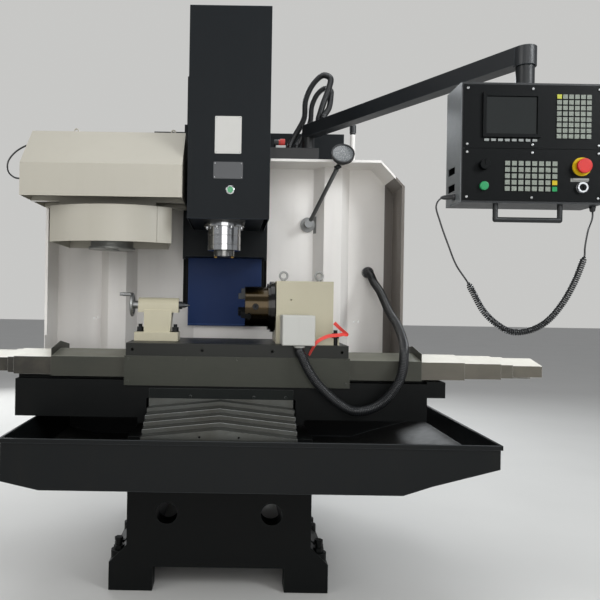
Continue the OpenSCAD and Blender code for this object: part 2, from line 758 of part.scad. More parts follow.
module x_cover_table() color(grey) for (e = [[table_r, xr[0], 1], [xl[0], table_l, -1]]) {
  x_cover(0, e[2] > 0 ? e[0] : e[1], e[2] > 0 ? e[1] : e[0], xc_low);
  // upright flange over the outer end
  difference() {
    pull_x(e[2] > 0 ? e[1] - 2 : e[0], e[2] > 0 ? e[1] : e[0] + 2) translate([0, flange_h])
      xc_outline(0, 0);
    pull_x(e[0] - 1, e[1] + 1) xc_outline(0, sheet / 2);
    span([e[0] - 1, -300, 0], [e[1] + 1, 300, xc_eave - 2]);
  }
}

tail_y = 0;
module tailstock_body() color(cream) difference() {
  union() {
    span([-368, tail_y - 60, table_z], [-187, tail_y + 60, table_z + 36]);
    pull_y(tail_y - 42, tail_y + 42) polygon([[-331, table_z + 35], [-222, table_z + 35],
      [-214, axis_z - 20], [-331, axis_z - 20]]);
    hull() {
      bar_x([-358, tail_y, axis_z], 31, 170);
      span([-358, tail_y - 31, axis_z - 31], [-188, tail_y + 31, axis_z - 5]);
    }
  }
  bar_x([-359, tail_y, axis_z], quill_r + gap, 172);
  for (x = [-351, -202]) translate([x, tail_y, table_z - 1]) cylinder(r = 8 + gap, h = 40);
}

module tailstock_quill() color(steel) {
  difference() {
    bar_x([-332, tail_y, axis_z], quill_r, 158);
    bar_x([-333, tail_y, axis_z], 8, 61);
  }
  bar_x([-175, tail_y, axis_z], 11, 12);
  translate([-164, tail_y, axis_z]) rotate([0, 90, 0]) cylinder(r1 = 11, r2 = 0.6, h = 23);
}

module tailstock_handwheel() color(steel) {
  bar_x([-384, tail_y, axis_z], 7, 84);
  bar_x([-392, tail_y, axis_z], 17, 34 - gap);
  translate([-386, tail_y, axis_z]) rotate([0, 90, 0]) rotate_extrude()
    translate([wheel_r - 6, 0]) circle(r = 6);
  for (a = [0, 120, 240]) translate([-386, tail_y, axis_z]) rotate([a, 0, 0])
    translate([-4, -5, 14]) cube([8, 10, wheel_r - 20]);
  bar_x([-440, tail_y, axis_z + wheel_r - 7], 7, 50);
  translate([-424, tail_y, axis_z + wheel_r - 7]) sphere(r = 8.5);
}

rot_x = 219;
rot_top = axis_z + 107;
module rotary_housing() color(cream) difference() {
  union() {
    span([rot_x, -110, table_z], [rot_x + rot_w, 130, rot_top]);
    span([rot_x + 150, -168, table_z], [rot_x + rot_w + 16, 168, table_z + 28]);
  }
  // open slots for the clamping studs
  for (s = [-1, 1]) hull() for (y = [2 * slot_p, 2 * slot_p + 20])
    translate([rot_x + rot_w + 2, s * y, table_z - 1]) cylinder(r = 8 + gap, h = 40);
  bar_x([rot_x - 1, 0, axis_z], 100, 20);
  bar_x([rot_x - 1, 0, axis_z], 40 + gap, 120);
  bar_y([rot_x + 60, -111, axis_z + 30], 4, 14);
}

module rotary_motor_box() color([0.66, 0.67, 0.66]) {
  span([rot_x + 15, -250, table_z + 1], [rot_x + 143, -110, table_z + 119]);
  translate([303, -226, table_z - 8]) cylinder(r = 22, h = 10);
}

// stud with its T-nut in the slot, standing on h
module stud(h, up) {
  span([-12, -14.5, -36], [12, 14.5, -20.2]);
  translate([0, 0, -22]) cylinder(r = 8, h = 22 + up);
  translate([0, 0, h]) cylinder(r = 15, h = 4);
  translate([0, 0, h + 4]) cylinder(r = 14, h = 16, $fn = 6);
}

module clamp_fittings() color(black) {
  for (x = [-351, -202]) translate([x, tail_y, table_z]) stud(36, 68);
  for (y = [-2 * slot_p, 2 * slot_p]) translate([rot_x + rot_w + 2, y, table_z]) stud(28, 60);
  // eyebolts on the rotary housing
  for (x = [rot_x + 38, rot_x + 190]) translate([x, 20, rot_top]) {
    cylinder(r = 10, h = 6);
    cylinder(r = 5, h = 12);
    translate([0, 0, 26]) rotate([90, 0, 0]) rotate_extrude() translate([16, 0]) circle(r = 4.5);
  }
}

jaw_angles = [90, 210, 330];
module chuck() color([0.45, 0.38, 0.24]) difference() {
  union() {
    bar_x([chuck_x, 0, axis_z], chuck_r, chuck_len);
    bar_x([chuck_x + chuck_len - 1, 0, axis_z], 98, 12);
    bar_x([chuck_x + chuck_len + 10, 0, axis_z], 107, 17);
    bar_x([chuck_x + chuck_len + 26, 0, axis_z], 40, 120);
  }
  bar_x([chuck_x - 1, 0, axis_z], 21, 400);
  for (a = jaw_angles) translate([0, 0, axis_z]) rotate([a - 90, 0, 0])
    jaw_shape(gap, 14, chuck_r + 5);
  // socket of the pinion that drives the scroll
  translate([0, 0, axis_z]) rotate([pinion_a, 0, 0])
    translate([pinion_x, 0, chuck_r - 40]) cylinder(r = 13 + gap, h = 60);
}

pinion_a = 90;
pinion_x = chuck_x + 43;
// jaw in the slot that points along +Z, grown by c
module jaw_shape(c, low, top) {
  span([chuck_x - c - 2, -13 - c, low], [chuck_x + 26 + c, 13 + c, top]);
  span([chuck_x + 12 - c, -18 - c, low], [chuck_x + 20 + c, 18 + c, top]);
}

module jaw(a) color(steel) translate([0, 0, axis_z]) rotate([a - 90, 0, 0]) {
  jaw_shape(0, 30, 78);
  span([chuck_x - 16, -13, 30], [chuck_x + 1, 13, 76]);
  span([chuck_x - 28, -13, 30], [chuck_x - 15, 13, 56]);
}

module chuck_jaw_1() jaw(jaw_angles[0]);
module chuck_jaw_2() jaw(jaw_angles[1]);
module chuck_jaw_3() jaw(jaw_angles[2]);

module chuck_pinion() color(steel) translate([0, 0, axis_z]) rotate([pinion_a, 0, 0])
  translate([pinion_x, 0, chuck_r - 39]) difference() {
    cylinder(r = 13, h = 36);
    translate([-4.5, -4.5, 20]) cube([9, 9, 20]);
  }

module head_casting() color(cast) difference() {
  union() {
    span([-slide_half, slide_front, slide_low], [slide_half, zway_y - run, slide_top]);
    span([-140, -132, head_low], [160, slide_front + 1, 1760]);
    pull_x(-110, 130) polygon([[100, 1759], [slide_front + 1, 1759], [slide_front + 1, 1930],
      [120, 1800]]);
    // nut bracket for the Z screw
    span([-50, zway_y - 10, 1560], [50, zscrew_y + 32, 1680]);
    // wiper feet under the slide
    both() span([slide_half - 14, slide_front, slide_low - 12],
      [slide_half, slide_front + 16, slide_low + 1]);
  }
  translate([0, 0, head_low - 1]) cylinder(r = cart_r, h = 300);
  translate([0, zscrew_y, 1559]) cylinder(r = 16 + gap, h = 122);
  // gib slots along the slide
  both() for (z = [1500, 1800]) bar_x([slide_half - 20, 360, z], 12, 30);
  // spindle motor stands here
  translate([0, 0, 1700]) cylinder(r = 40, h = 90);
}

module head_cover() color(navy) difference() {
  span([-cover_l, -cover_front, head_low], [cover_r, slide_front - gap, cover_top]);
  span([-cover_l + cover_t, -cover_front + cover_t, head_low - 1],
    [cover_r - cover_t, slide_front + 1, cover_top - cover_t]);
  bar_y([23, -cover_front - 1, 1581], 12 + gap, 6);
  // vent slots high at the sides
  for (i = [0:7]) span([-cover_l - 1, 60, 2040 + i * 26], [cover_r + 1, 200, 2050 + i * 26]);
}

module spindle_cartridge() color([0.75, 0.75, 0.76]) difference() {
  union() {
    translate([0, 0, cart_z]) cylinder(r = cart_r, h = 110);
    translate([0, 0, cart_z + 98]) cylinder(r = flange_r, h = head_low - cart_z - 98);
    translate([0, 0, cart_z + 100]) cylinder(r = cart_r - 0.05, h = 280);
    for (i = [0:7]) rotate(i * 45 + 22.5) translate([flange_r - 9, 0, cart_z + 90])
      cylinder(r = 6.5, h = 9);
    // spindle motor on the head
    translate([0, 0, 1760]) span([-85, -85, 0.2], [85, 85, 300]);
    translate([0, 0, 2059]) cylinder(r = 60, h = 40);
  }
  translate([0, 0, cart_z - 1]) cylinder(r = 38 + gap, h = 371);
  for (z = [cart_z + 22, cart_z + 60]) translate([0, 0, z]) difference() {
    cylinder(r = cart_r + 1, h = 3);
    translate([0, 0, -1]) cylinder(r = cart_r - 2, h = 5);
  }
}

module spindle_nose() color([0.7, 0.7, 0.7]) {
  difference() {
    union() {
      translate([0, 0, nose_z]) cylinder(r = nose_r, h = cart_z - nose_z - gap);
      translate([0, 0, nose_z + 1]) cylinder(r = 38, h = 380);
      for (s = [-1, 1]) span([s * 35 - 6, -8, nose_z - 6], [s * 35 + 6, 8, nose_z + 1]);
    }
    translate([0, 0, nose_z - 0.01]) cylinder(r1 = taper_r, r2 = taper_r - 65 * 7 / 48, h = 65);
    translate([0, 0, nose_z + 60]) cylinder(r = 8.5, h = 400);
  }
}

module z_way_cover() color([0.10, 0.20, 0.38]) {
  span([-178, 405, 1011], [178, 408, slide_low]);
  span([-178, 400, 1011], [178, 405, 1019]);
}

module tool_release_button() color([0.1, 0.5, 0.25]) {
  bar_y([23, -cover_front - 7, 1581], 12, 17);
  bar_y([23, -cover_front - 5, 1581], 9, 4);
}

arm_dir = [arm_x - post[0], -arm_y - post[1], 0];
arm_len = norm(arm_dir);
arm_ang = atan2(arm_dir[1], arm_dir[0]);

module arm_bracket() color(cast) {
  span([slide_half + 8, 415, 1834], [451, col_front, 1888]);
  span([neck_half, col_front - 5, 1834], [neck_half + 30, 640, 1888]);
  difference() {
    translate([post[0], post[1], 1887]) cylinder(r = 30, h = arm_z - run - 1887);
    translate([post[0], post[1], arm_z - 38 - run]) cylinder(r = 20 + gap, h = 60);
  }
  // pneumatic fitting with its red cap
  bar_x([232, 445, 1916], 17, 30);
  bar_x([262, 445, 1916], 21, 24);
  span([240, 425, 1887], [290, 465, 1902]);
}

module pendant_arm() color(cast) {
  translate([post[0], post[1], arm_z]) rotate(arm_ang) difference() {
    union() {
      translate([0, -arm_s / 2, 0]) cube([arm_len, arm_s, arm_s]);
      cylinder(r = arm_s / 2, h = arm_s);
      translate([arm_len, 0, -8]) cylinder(r = 36, h = arm_s + 5);
      translate([0, 0, -38]) cylinder(r = 20, h = 50);
    }
    translate([arm_s, -arm_s / 2 + 3, 3]) cube([arm_len - arm_s - 40, arm_s - 6, arm_s - 6]);
    translate([arm_len, 0, -9]) cylinder(r = 22 + gap, h = 50);
  }
}

pen = [pen_x, -pen_front, pen_z];
module pendant_box() color([0.30, 0.31, 0.32]) {
  difference() {
    span(pen, pen + [pen_w, pen_d, pen_h]);
    translate([3, 3, 3]) span(pen + [0, 8, 0], pen + [pen_w - 6, pen_d - 6, pen_h - 6]);
    span(pen + [12, -1, 12], pen + [pen_w - 12, 20, pen_h - 12]);
    // two sockets in the left side
    for (z = [103, 46]) span(pen + [-1, 52, z], pen + [5, 118, z + 24]);
  }
  // hub under the arm
  translate([arm_x, -arm_y, pen_z + pen_h - 1]) cylinder(r = 30, h = arm_z - 8 - run - pen_z - pen_h + 1);
  translate([arm_x, -arm_y, arm_z - 20]) cylinder(r = 22, h = 50);
  // U handle under the box
  for (x = [124, 336]) translate([pen_x + x, -pen_front + 20, pen_z - 52]) {
    cylinder(r = 8.5, h = 53);
    sphere(r = 8.5);
  }
  bar_x([pen_x + 124, -pen_front + 20, pen_z - 52], 8.5, 212);
}

// plates of the panel, from the pendant's lower left corner
module plate(x, z, w, h, y, t) translate([pen_x + x, -pen_front - y, pen_z + z]) cube([w, t, h]);
estop = [394, 121];
knob = [75, 122];
start = [76, 54];
keysw = [395, 53];
module pendant_panel() color(black) difference() {
  union() {
    plate(7, 178, pen_w - 14, pen_h - 185, 2, 2);
    plate(7, 7, pen_w - 14, 168, 2, 2);
    plate(13, 13, pen_w - 26, pen_h - 26, 0.5, 20);
    // screen bezel
    difference() {
      plate(69, 213, 188, 144, 9, 8);
      plate(80, 224, 166, 122, 10, 8);
    }
    for (i = [0:7]) plate(75 + i * 22.4, 200, 15, 8, 5, 4);
    // keyboard, six columns of eight
    for (i = [0:5]) for (j = [0:7]) plate(310 + i * 19.4, 212 + j * 18.4, 15, 14, 5, 4);
    // machine keys, eight columns of five
    for (i = [0:7]) for (j = [0:4]) plate(144 + i * 22, 39 + j * 20.6, 16, 15, 5, 4);
    plate(366, 76, 54, 9, 5, 4);
    bar_y([pen_x + estop[0], -pen_front - 6, pen_z + estop[1]], 30, 6);
    bar_y([pen_x + keysw[0], -pen_front - 12, pen_z + keysw[1]], 17, 12);
    for (x = [20, 232, 448]) for (z = [18, 164, 190, 372])
      bar_y([pen_x + x, -pen_front - 4, pen_z + z], 4, 3);
  }
  bar_y([pen_x + estop[0], -pen_front - 9, pen_z + estop[1]], 11 + gap, 40);
  bar_y([pen_x + knob[0], -pen_front - 9, pen_z + knob[1]], 4 + gap, 40);
  bar_y([pen_x + start[0], -pen_front - 9, pen_z + start[1]], 14 + gap, 40);
  plate(keysw[0] - 1.5, keysw[1] - 7, 3, 14, 14, 6);
}

module estop_button() color([0.8, 0.08, 0.08]) {
  bar_y([pen_x + estop[0], -pen_front - 26, pen_z + estop[1]], 24, 12);
  bar_y([pen_x + estop[0], -pen_front - 20, pen_z + estop[1]], 11, 38);
}

module start_button() color([0.1, 0.6, 0.25]) {
  bar_y([pen_x + start[0], -pen_front - 11, pen_z + start[1]], 14, 26);
}

module override_knob() color(black) {
  bar_y([pen_x + knob[0], -pen_front - 20, pen_z + knob[1]], 16, 17.6);
  bar_y([pen_x + knob[0], -pen_front - 10, pen_z + knob[1]], 4, 30);
  plate(knob[0] - 1.5, knob[1], 3, 15, 22, 3);
}

lamp = [402, 365, 1512];         // lamp pivot on the guard
lamp_end = [508, 186, 1750];
lamp_face = [522, 130, 1801];
module lamp_arm() color(steel) {
  v = lamp_end - lamp;
  translate(lamp) rotate([0, acos(v[2] / norm(v)), atan2(v[1], v[0])]) {
    translate([0, 0, 19]) cylinder(r = 9.5, h = norm(v) - 34);
    translate([0, 0, norm(v) - 20 - gap]) cylinder(r = 11, h = 8);
  }
  difference() {
    bar_y([lamp[0], lamp[1] - 16, lamp[2]], 22, 30);
    bar_y([lamp[0], lamp[1] - 2, lamp[2]], 15 + gap, 40);
  }
}

lamp_tilt = 26;
module lamp_head() color(black) {
  translate(lamp_end) sphere(r = 12);
  bar_x([lamp_end[0] - 16, lamp_end[1], lamp_end[2]], 5, 32);
  // neck from the ball to the back of the shell
  n = lamp_face - 54 * [0, -cos(lamp_tilt), sin(lamp_tilt)] - lamp_end;
  translate(lamp_end) rotate([0, acos(n[2] / norm(n)), atan2(n[1], n[0])])
    cylinder(r = 8, h = norm(n) + 4);
  translate(lamp_face) rotate([90 - lamp_tilt, 0, 0]) {
    difference() {
      union() {
        translate([0, 0, -16]) cylinder(r = 52, h = 16);
        translate([0, 0, -56]) cylinder(r1 = 26, r2 = 50, h = 41);
      }
      translate([0, 0, -6]) cylinder(r = 46, h = 7);
      translate([0, 0, -45]) cylinder(r1 = 20, r2 = 44, h = 40);
    }
    translate([0, 0, -7]) cylinder(r = 46.2, h = 3);
  }
}

function unit(v) = v / norm(v);
function tangent(p, i) = unit(p[min(i + 1, len(p) - 1)] - p[max(i - 1, 0)]);
function square_to(n, t) = unit(n - (n * t) * t);
// the side direction of each ring, carried along from the first one
function normals(p, n, i = 0) = i == len(p) ? [] :
  let (a = square_to(n, tangent(p, i))) concat([a], normals(p, a, i + 1));
function ring(p, t, a, r, k) = let (b = cross(t, a))
  [for (i = [0:k - 1]) p + r * cos(360 * i / k) * a + r * sin(360 * i / k) * b];

// round tube through points p; n is a side direction at its first point
module tube(p, n, r, k) {
  m = len(p);
  sides_at = normals(p, n);
  rings = [for (i = [0:m - 1]) each ring(p[i], tangent(p, i), sides_at[i], r, k)];
  sides = [for (i = [0:m - 2]) for (j = [0:k - 1])
    [i * k + j, i * k + (j + 1) % k, (i + 1) * k + (j + 1) % k, (i + 1) * k + j]];
  ends = [[for (j = [k - 1:-1:0]) j], [for (j = [0:k - 1]) (m - 1) * k + j]];
  polyhedron(points = rings, faces = concat(sides, ends), convexity = 6);
}

conduit_pts = [[699, 403.5, 1283], [699, 390, 1283], [705, 371, 1267], [712, 350, 1240], [731, 280, 1186], [746, 160, 1095],
  [756, 40, 1033], [748, -80, 975], [724, -185, 935], [709, -230, 883], [690, -250, 834],
  [656, -262, 785], [613, -270, 747], [562, -276, 724], [508, -278, 720], [454, -276, 746],
  [405, -270, 786], [363, -262, 831], [332, -252, 880], [314, -240, 920], [306, -231, 936],
  [303, -226, 944], [303, -226, 954.6]];
module rotary_conduit() color(black) tube(conduit_pts, [1, 0, 0], 19, 12);

loop_a = [[312, 456, 1888.4], [312, 456, 1902], [322, 478, 1930], [350, 506, 1985], [386, 512, 2060],
  [392, 500, 2150], [428, 480, 2226], [471, 455, 2258], [503, 430, 2236], [494, 405, 2180],
  [464, 385, 2095], [446, 374, 2035], [441, 371, 2018],
  [441, 371, 2003.6]];
loop_b = [[347, 456, 1888.4], [347, 456, 1902], [356, 478, 1920], [382, 512, 1970], [418, 520, 2045],
  [424, 510, 2120], [450, 495, 2178], [482, 478, 2200], [508, 456, 2184], [506, 425, 2140],
  [492, 385, 2075], [466, 350, 2030], [461, 338, 2018],
  [461, 338, 2003.6]];
mag_cable = [[-820.3, -20, 1780], [-828, -20, 1780], [-840, -24, 1776], [-880, -40, 1745], [-908, -50, 1700],
  [-906, -50, 1660], [-880, -50, 1636], [-850, -50, 1632], [-828, -50, 1632],
  [-820.3, -50, 1632]];
// coiled cable: thin tail from the plug, curly part as one fat tube, thin tail to the gland
coil_a = [[773, -598, 1493], [748, -599, 1493], [724, -600, 1484], [713, -600, 1462],
  [727, -600, 1409], [755, -600, 1333], [783, -600, 1266], [822, -600, 1209]];
coil_b = [[820, -600, 1212], [841, -600, 1174], [876, -600, 1114], [920, -600, 1072],
  [973, -600, 1046], [1037, -600, 1054], [1089, -600, 1084], [1138, -600, 1142],
  [1177, -600, 1213], [1203, -600, 1280], [1211, -600, 1306]];
coil_c = [[1210, -600, 1303], [1211, -600, 1330], [1221, -600, 1390], [1234, -600, 1430],
  [1234, -600, 1467]];
module coiled_cable() color(black) {
  tube(coil_a, [0, 1, 0], 4, 8);
  tube(coil_b, [0, 1, 0], 11.5, 12);
  tube(coil_c, [0, 1, 0], 4, 8);
}

module fixed_conduits() color(black) {
  tube(loop_a, [1, 0, 0], 15, 12);
  tube(loop_b, [1, 0, 0], 14, 12);
  tube(mag_cable, [0, 1, 0], 3.5, 8);
}

machine_base();
levelling_screws();
chip_tray();
y_ball_screw();
column();
z_ball_screw();
axis_motors();
splash_guard();
y_cover_fixed();
electrical_cabinet();
cabinet_door();
magazine_housing();
arm_bracket();
fixed_conduits();
drum_carriage();
tool_drum();
saddle();
x_ball_screw();
x_servo_motor();
x_cover_ends();
y_cover_1();
y_cover_2();
y_cover_3();
y_cover_4();
x_cover_right_1();
x_cover_right_2();
x_cover_right_3();
x_cover_left_1();
x_cover_left_2();
x_cover_left_3();
table();
table_apron();
x_cover_table();
tailstock_body();
rotary_housing();
rotary_motor_box();
clamp_fittings();
tailstock_quill();
tailstock_handwheel();
chuck();
chuck_jaw_1();
chuck_jaw_2();
chuck_jaw_3();
chuck_pinion();
head_casting();
head_cover();
spindle_cartridge();
z_way_cover();
spindle_nose();
tool_release_button();
pendant_arm();
pendant_box();
pendant_panel();
estop_button();
start_button();
override_knob();
lamp_arm();
lamp_head();
rotary_conduit();
coiled_cable();
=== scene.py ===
# Looks of a vertical machining center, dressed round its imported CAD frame.
import json
import math

import bmesh
import bpy
import numpy as np
from mathutils import Matrix, Vector

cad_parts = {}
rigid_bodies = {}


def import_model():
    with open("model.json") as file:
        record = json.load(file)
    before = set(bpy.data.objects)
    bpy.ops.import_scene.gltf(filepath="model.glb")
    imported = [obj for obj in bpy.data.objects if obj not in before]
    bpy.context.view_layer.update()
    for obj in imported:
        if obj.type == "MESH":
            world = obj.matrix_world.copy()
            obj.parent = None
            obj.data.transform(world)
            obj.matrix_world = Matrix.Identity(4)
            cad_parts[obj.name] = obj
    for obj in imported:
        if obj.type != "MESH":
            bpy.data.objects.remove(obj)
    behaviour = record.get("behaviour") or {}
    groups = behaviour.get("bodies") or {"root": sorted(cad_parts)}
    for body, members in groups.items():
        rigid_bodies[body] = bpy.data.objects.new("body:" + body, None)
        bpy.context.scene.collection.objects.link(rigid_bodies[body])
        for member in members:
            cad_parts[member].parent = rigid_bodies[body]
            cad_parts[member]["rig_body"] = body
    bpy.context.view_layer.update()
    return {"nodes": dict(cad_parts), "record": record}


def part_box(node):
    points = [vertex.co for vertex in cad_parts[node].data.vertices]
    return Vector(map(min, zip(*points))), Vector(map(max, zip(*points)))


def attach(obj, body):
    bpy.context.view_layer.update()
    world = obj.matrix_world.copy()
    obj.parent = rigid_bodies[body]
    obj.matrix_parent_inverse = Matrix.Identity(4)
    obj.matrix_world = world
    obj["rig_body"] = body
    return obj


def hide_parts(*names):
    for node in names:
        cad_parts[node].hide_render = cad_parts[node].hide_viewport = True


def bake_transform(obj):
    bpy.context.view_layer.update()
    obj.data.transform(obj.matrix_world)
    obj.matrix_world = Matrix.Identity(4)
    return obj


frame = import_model()

# CAMERA, FLOOR AND LIGHT
# The photograph is taken by hand from eye height in front of the table, level and a little rolled,
# with the machine left of the lens axis, so the frame is shifted and not turned.
eye = Vector((0.038, -2.767, 1.138))
roll = math.radians(0.9)
camera = bpy.data.objects.new("camera", bpy.data.cameras.new("camera"))
bpy.context.scene.collection.objects.link(camera)
camera.data.sensor_width = 36.0
camera.data.lens = 39.0
camera.data.shift_x = 0.113
right = Vector((math.cos(roll), 0, math.sin(roll)))
above = Vector((-math.sin(roll), 0, math.cos(roll)))
facing = Matrix((right, above, Vector((0, -1, 0)))).transposed().to_4x4()
camera.matrix_world = Matrix.Translation(eye) @ facing
bpy.context.scene.camera = camera
bpy.context.scene.view_settings.view_transform = "Standard"


class Wire:
    """An output socket of a finish; sums, products and comparisons of it add Math nodes"""

    def __init__(self, finish, socket):
        self.finish, self.socket = finish, socket

    def maths(self, operation, *others, clamp=False):
        values = dict(enumerate((self, *others)))
        return self.finish.node("ShaderNodeMath", {"operation": operation, "use_clamp": clamp}, values)

    def __add__(self, other):
        return self.maths("ADD", other)

    def __sub__(self, other):
        return self.maths("SUBTRACT", other)

    def __mul__(self, other):
        return self.maths("MULTIPLY", other)

    def __lt__(self, other):
        return self.maths("LESS_THAN", other)

    def __gt__(self, other):
        return self.maths("GREATER_THAN", other)

    def to(self, other):
        return self.maths("POWER", other)

    def step(self, low, high):
        """0 under low, 1 over high, straight between them"""
        return ((self - low) * (1.0 / (high - low))).maths("ADD", 0.0, clamp=True)


class Finish:
    """One material: a Principled shader whose sockets take numbers, colours or wires."""

    def __init__(self, name, **sockets):
        self.material = bpy.data.materials.new(name)
        self.material.use_nodes = True
        self.tree = self.material.node_tree
        self.tree.nodes.clear()
        self.shader = self.tree.nodes.new("ShaderNodeBsdfPrincipled")
        out = self.tree.nodes.new("ShaderNodeOutputMaterial")
        self.tree.links.new(self.shader.outputs[0], out.inputs[0])
        self.set(**sockets)

    def plug(self, socket, value):
        if isinstance(value, Wire):
            self.tree.links.new(value.socket, socket)
        else:
            socket.default_value = value

    def set(self, **sockets):
        for name, value in sockets.items():
            self.plug(self.shader.inputs[name.replace("_", " ")], value)
        return self

    def node(self, kind, settings=None, values=None, out=0):
        """Any node: its settings come first, then the numbers or wires of its sockets"""
        made = self.tree.nodes.new(kind)
        for key, value in (settings or {}).items():
            setattr(made, key, value)
        for key, value in (values or {}).items():
            self.plug(made.inputs[key], value)
        return Wire(self, made.outputs[out])

    def place(self, stretch=(1, 1, 1)):
        """Object coordinates in metres, stretched along the axes"""
        at = self.node("ShaderNodeTexCoord", out="Object")
        if tuple(stretch) == (1, 1, 1):
            return at
        return self.node("ShaderNodeMapping", {}, {"Vector": at, "Scale": stretch})

    def noise(self, scale, detail=3.0, stretch=(1, 1, 1), rough=0.5):
        values = {"Vector": self.place(stretch), "Scale": scale, "Detail": detail, "Roughness": rough}
        return self.node("ShaderNodeTexNoise", {}, values)

    def cells(self, scale):
        return self.node("ShaderNodeTexVoronoi", {"feature": "F1"}, {"Vector": self.place(), "Scale": scale})

    def axis(self, name):
        return self.node("ShaderNodeSeparateXYZ", {}, {0: self.place()}, out=name)

    def up(self):
        """1 where a surface looks up, 0 where it is upright"""
        way = self.node("ShaderNodeNewGeometry", out="Normal")
        return self.node("ShaderNodeSeparateXYZ", {}, {0: way}, out="Z").step(0.3, 0.9)

    def within(self, *spans):
        """1 inside the spans of X, Y and Z in metres; None leaves an axis free"""
        share = None
        for name, span in zip("XYZ", spans):
            if span:
                inside = (self.axis(name) > span[0]) * (self.axis(name) < span[1])
                share = inside if share is None else share * inside
        return share

    def mix(self, share, a, b):
        values = {0: share, 6: a, 7: b}
        return self.node("ShaderNodeMix", {"data_type": "RGBA", "clamp_factor": True}, values, out=2)

    def bump(self, height, distance, strength=1.0):
        self.set(Normal=self.node("ShaderNodeBump", {}, {
            "Height": height, "Distance": distance, "Strength": strength}))
        return self


def hue(code, light=1.0):
    """Linear colour of a six figure sRGB code"""
    rgb = np.array([int(code[i:i + 2], 16) for i in (0, 2, 4)]) / 255.0
    line = np.where(rgb <= 0.04045, rgb / 12.92, ((rgb + 0.055) / 1.055) ** 2.4) * light
    return (*line.tolist(), 1.0)


floor_size = 30.0
floor_mesh = bpy.data.meshes.new("floor")
floor_mesh.from_pydata([(x * floor_size, y * floor_size, -0.002)
                        for x, y in ((-1, -1), (1, -1), (1, 1), (-1, 1))], [], [(0, 1, 2, 3)])
floor = bpy.data.objects.new("floor", floor_mesh)
bpy.context.scene.collection.objects.link(floor)
concrete = Finish("pale_floor", Roughness=0.75)
concrete.set(Base_Color=concrete.mix(concrete.noise(1.5, 4), hue("c9c8c5"), hue("d2d1ce")))
floor.data.materials.append(concrete.material)

world = bpy.data.worlds.new("studio")
bpy.context.scene.world = world
world.use_nodes = True
world.node_tree.nodes.clear()
sky = world.node_tree.nodes
seen = sky.new("ShaderNodeLightPath")
shows = sky.new("ShaderNodeMath")
shows.operation = "MAXIMUM"
wl = world.node_tree.links
wl.new(seen.outputs["Is Camera Ray"], shows.inputs[0])
wl.new(seen.outputs["Is Transmission Ray"], shows.inputs[1])
lit, back = sky.new("ShaderNodeBackground"), sky.new("ShaderNodeBackground")
lit.inputs[0].default_value, lit.inputs[1].default_value = (0.95, 0.97, 1.0, 1), 0.36
back.inputs[0].default_value, back.inputs[1].default_value = hue("dcdcda"), 0.8
chosen, sky_out = sky.new("ShaderNodeMixShader"), sky.new("ShaderNodeOutputWorld")
wl.new(shows.outputs[0], chosen.inputs[0])
wl.new(lit.outputs[0], chosen.inputs[1])
wl.new(back.outputs[0], chosen.inputs[2])
wl.new(chosen.outputs[0], sky_out.inputs[0])


def lamp(name, place, aim, size, watts, colour=(1, 1, 1)):
    """A soft square lamp at place that looks at aim"""
    light = bpy.data.objects.new(name, bpy.data.lights.new(name, "AREA"))
    bpy.context.scene.collection.objects.link(light)
    light.data.size, light.data.energy, light.data.color = size, watts, colour
    light.location = place
    light.rotation_mode = "QUATERNION"
    light.rotation_quaternion = (Vector(aim) - Vector(place)).to_track_quat("-Z", "Y")


lamp("window_left", (-4.2, -3.2, 3.6), (0, 0, 1.1), 2.6, 80, (1.0, 0.99, 0.97))
lamp("window_right", (3.8, -3.2, 3.3), (0, 0, 1.2), 1.7, 120, (0.95, 0.98, 1.0))
lamp("room", (0.3, -7.0, 2.6), (0, 0, 1.1), 4.5, 150, (1.0, 0.99, 0.98))
lamp("roof", (0.2, -0.6, 5.0), (0, 0, 1.0), 3.0, 60, (0.97, 0.99, 1.0))
lamp("window_behind", (-3.2, 4.8, 1.9), (-0.5, 0, 1.0), 2.2, 70, (0.97, 0.99, 1.0))
lamp("behind", (0.5, 4.6, 3.4), (0, 0, 1.4), 2.5, 150, (0.93, 0.97, 1.0))


# COILED CABLE OF THE PENDANT
# A black polyurethane lead: a smooth tail from the plug, a long part wound on a mandrel so that it
# springs back, and a smooth tail up to the gland in the pendant's underside.
def smooth_line(points, step):
    """Line through the points: Catmull-Rom cubics in chord length, sampled anew at equal steps"""
    p = np.asarray(points, float)
    p = np.vstack([2 * p[0] - p[1], p, 2 * p[-1] - p[-2]])
    u = np.linspace(0, 1, 24, endpoint=False)[:, None]
    parts = []
    for a, b, c, d in zip(p[:-3], p[1:-2], p[2:-1], p[3:]):
        ab, bc, cd = (max(np.linalg.norm(w) ** 0.5, 1e-6) for w in (b - a, c - b, d - c))
        m1 = (c - b) + bc * ((b - a) / ab - (c - a) / (ab + bc))
        m2 = (c - b) + bc * ((d - c) / cd - (d - b) / (bc + cd))
        parts.append((2 * u ** 3 - 3 * u ** 2 + 1) * b + (u ** 3 - 2 * u ** 2 + u) * m1
                     + (3 * u ** 2 - 2 * u ** 3) * c + (u ** 3 - u ** 2) * m2)
    line = np.vstack([*parts, p[-2]])
    run = np.concatenate([[0], np.cumsum(np.linalg.norm(np.diff(line, axis=0), axis=1))])
    at = np.linspace(0, run[-1], max(2, int(round(run[-1] / step)) + 1))
    return np.stack([np.interp(at, run, line[:, k]) for k in range(3)], 1)


def sides_of(line):
    """Tangent and two side directions at each point; the side is carried along without twist"""
    ahead = np.gradient(line, axis=0)
    ahead /= np.linalg.norm(ahead, axis=1)[:, None]
    side = np.cross(ahead[0], (0.31, 0.52, 0.79))
    carried = []
    for t in ahead:
        side = side - t * (side @ t)
        side = side / np.linalg.norm(side)
        carried.append(side)
    one = np.array(carried)
    return ahead, one, np.cross(ahead, one)


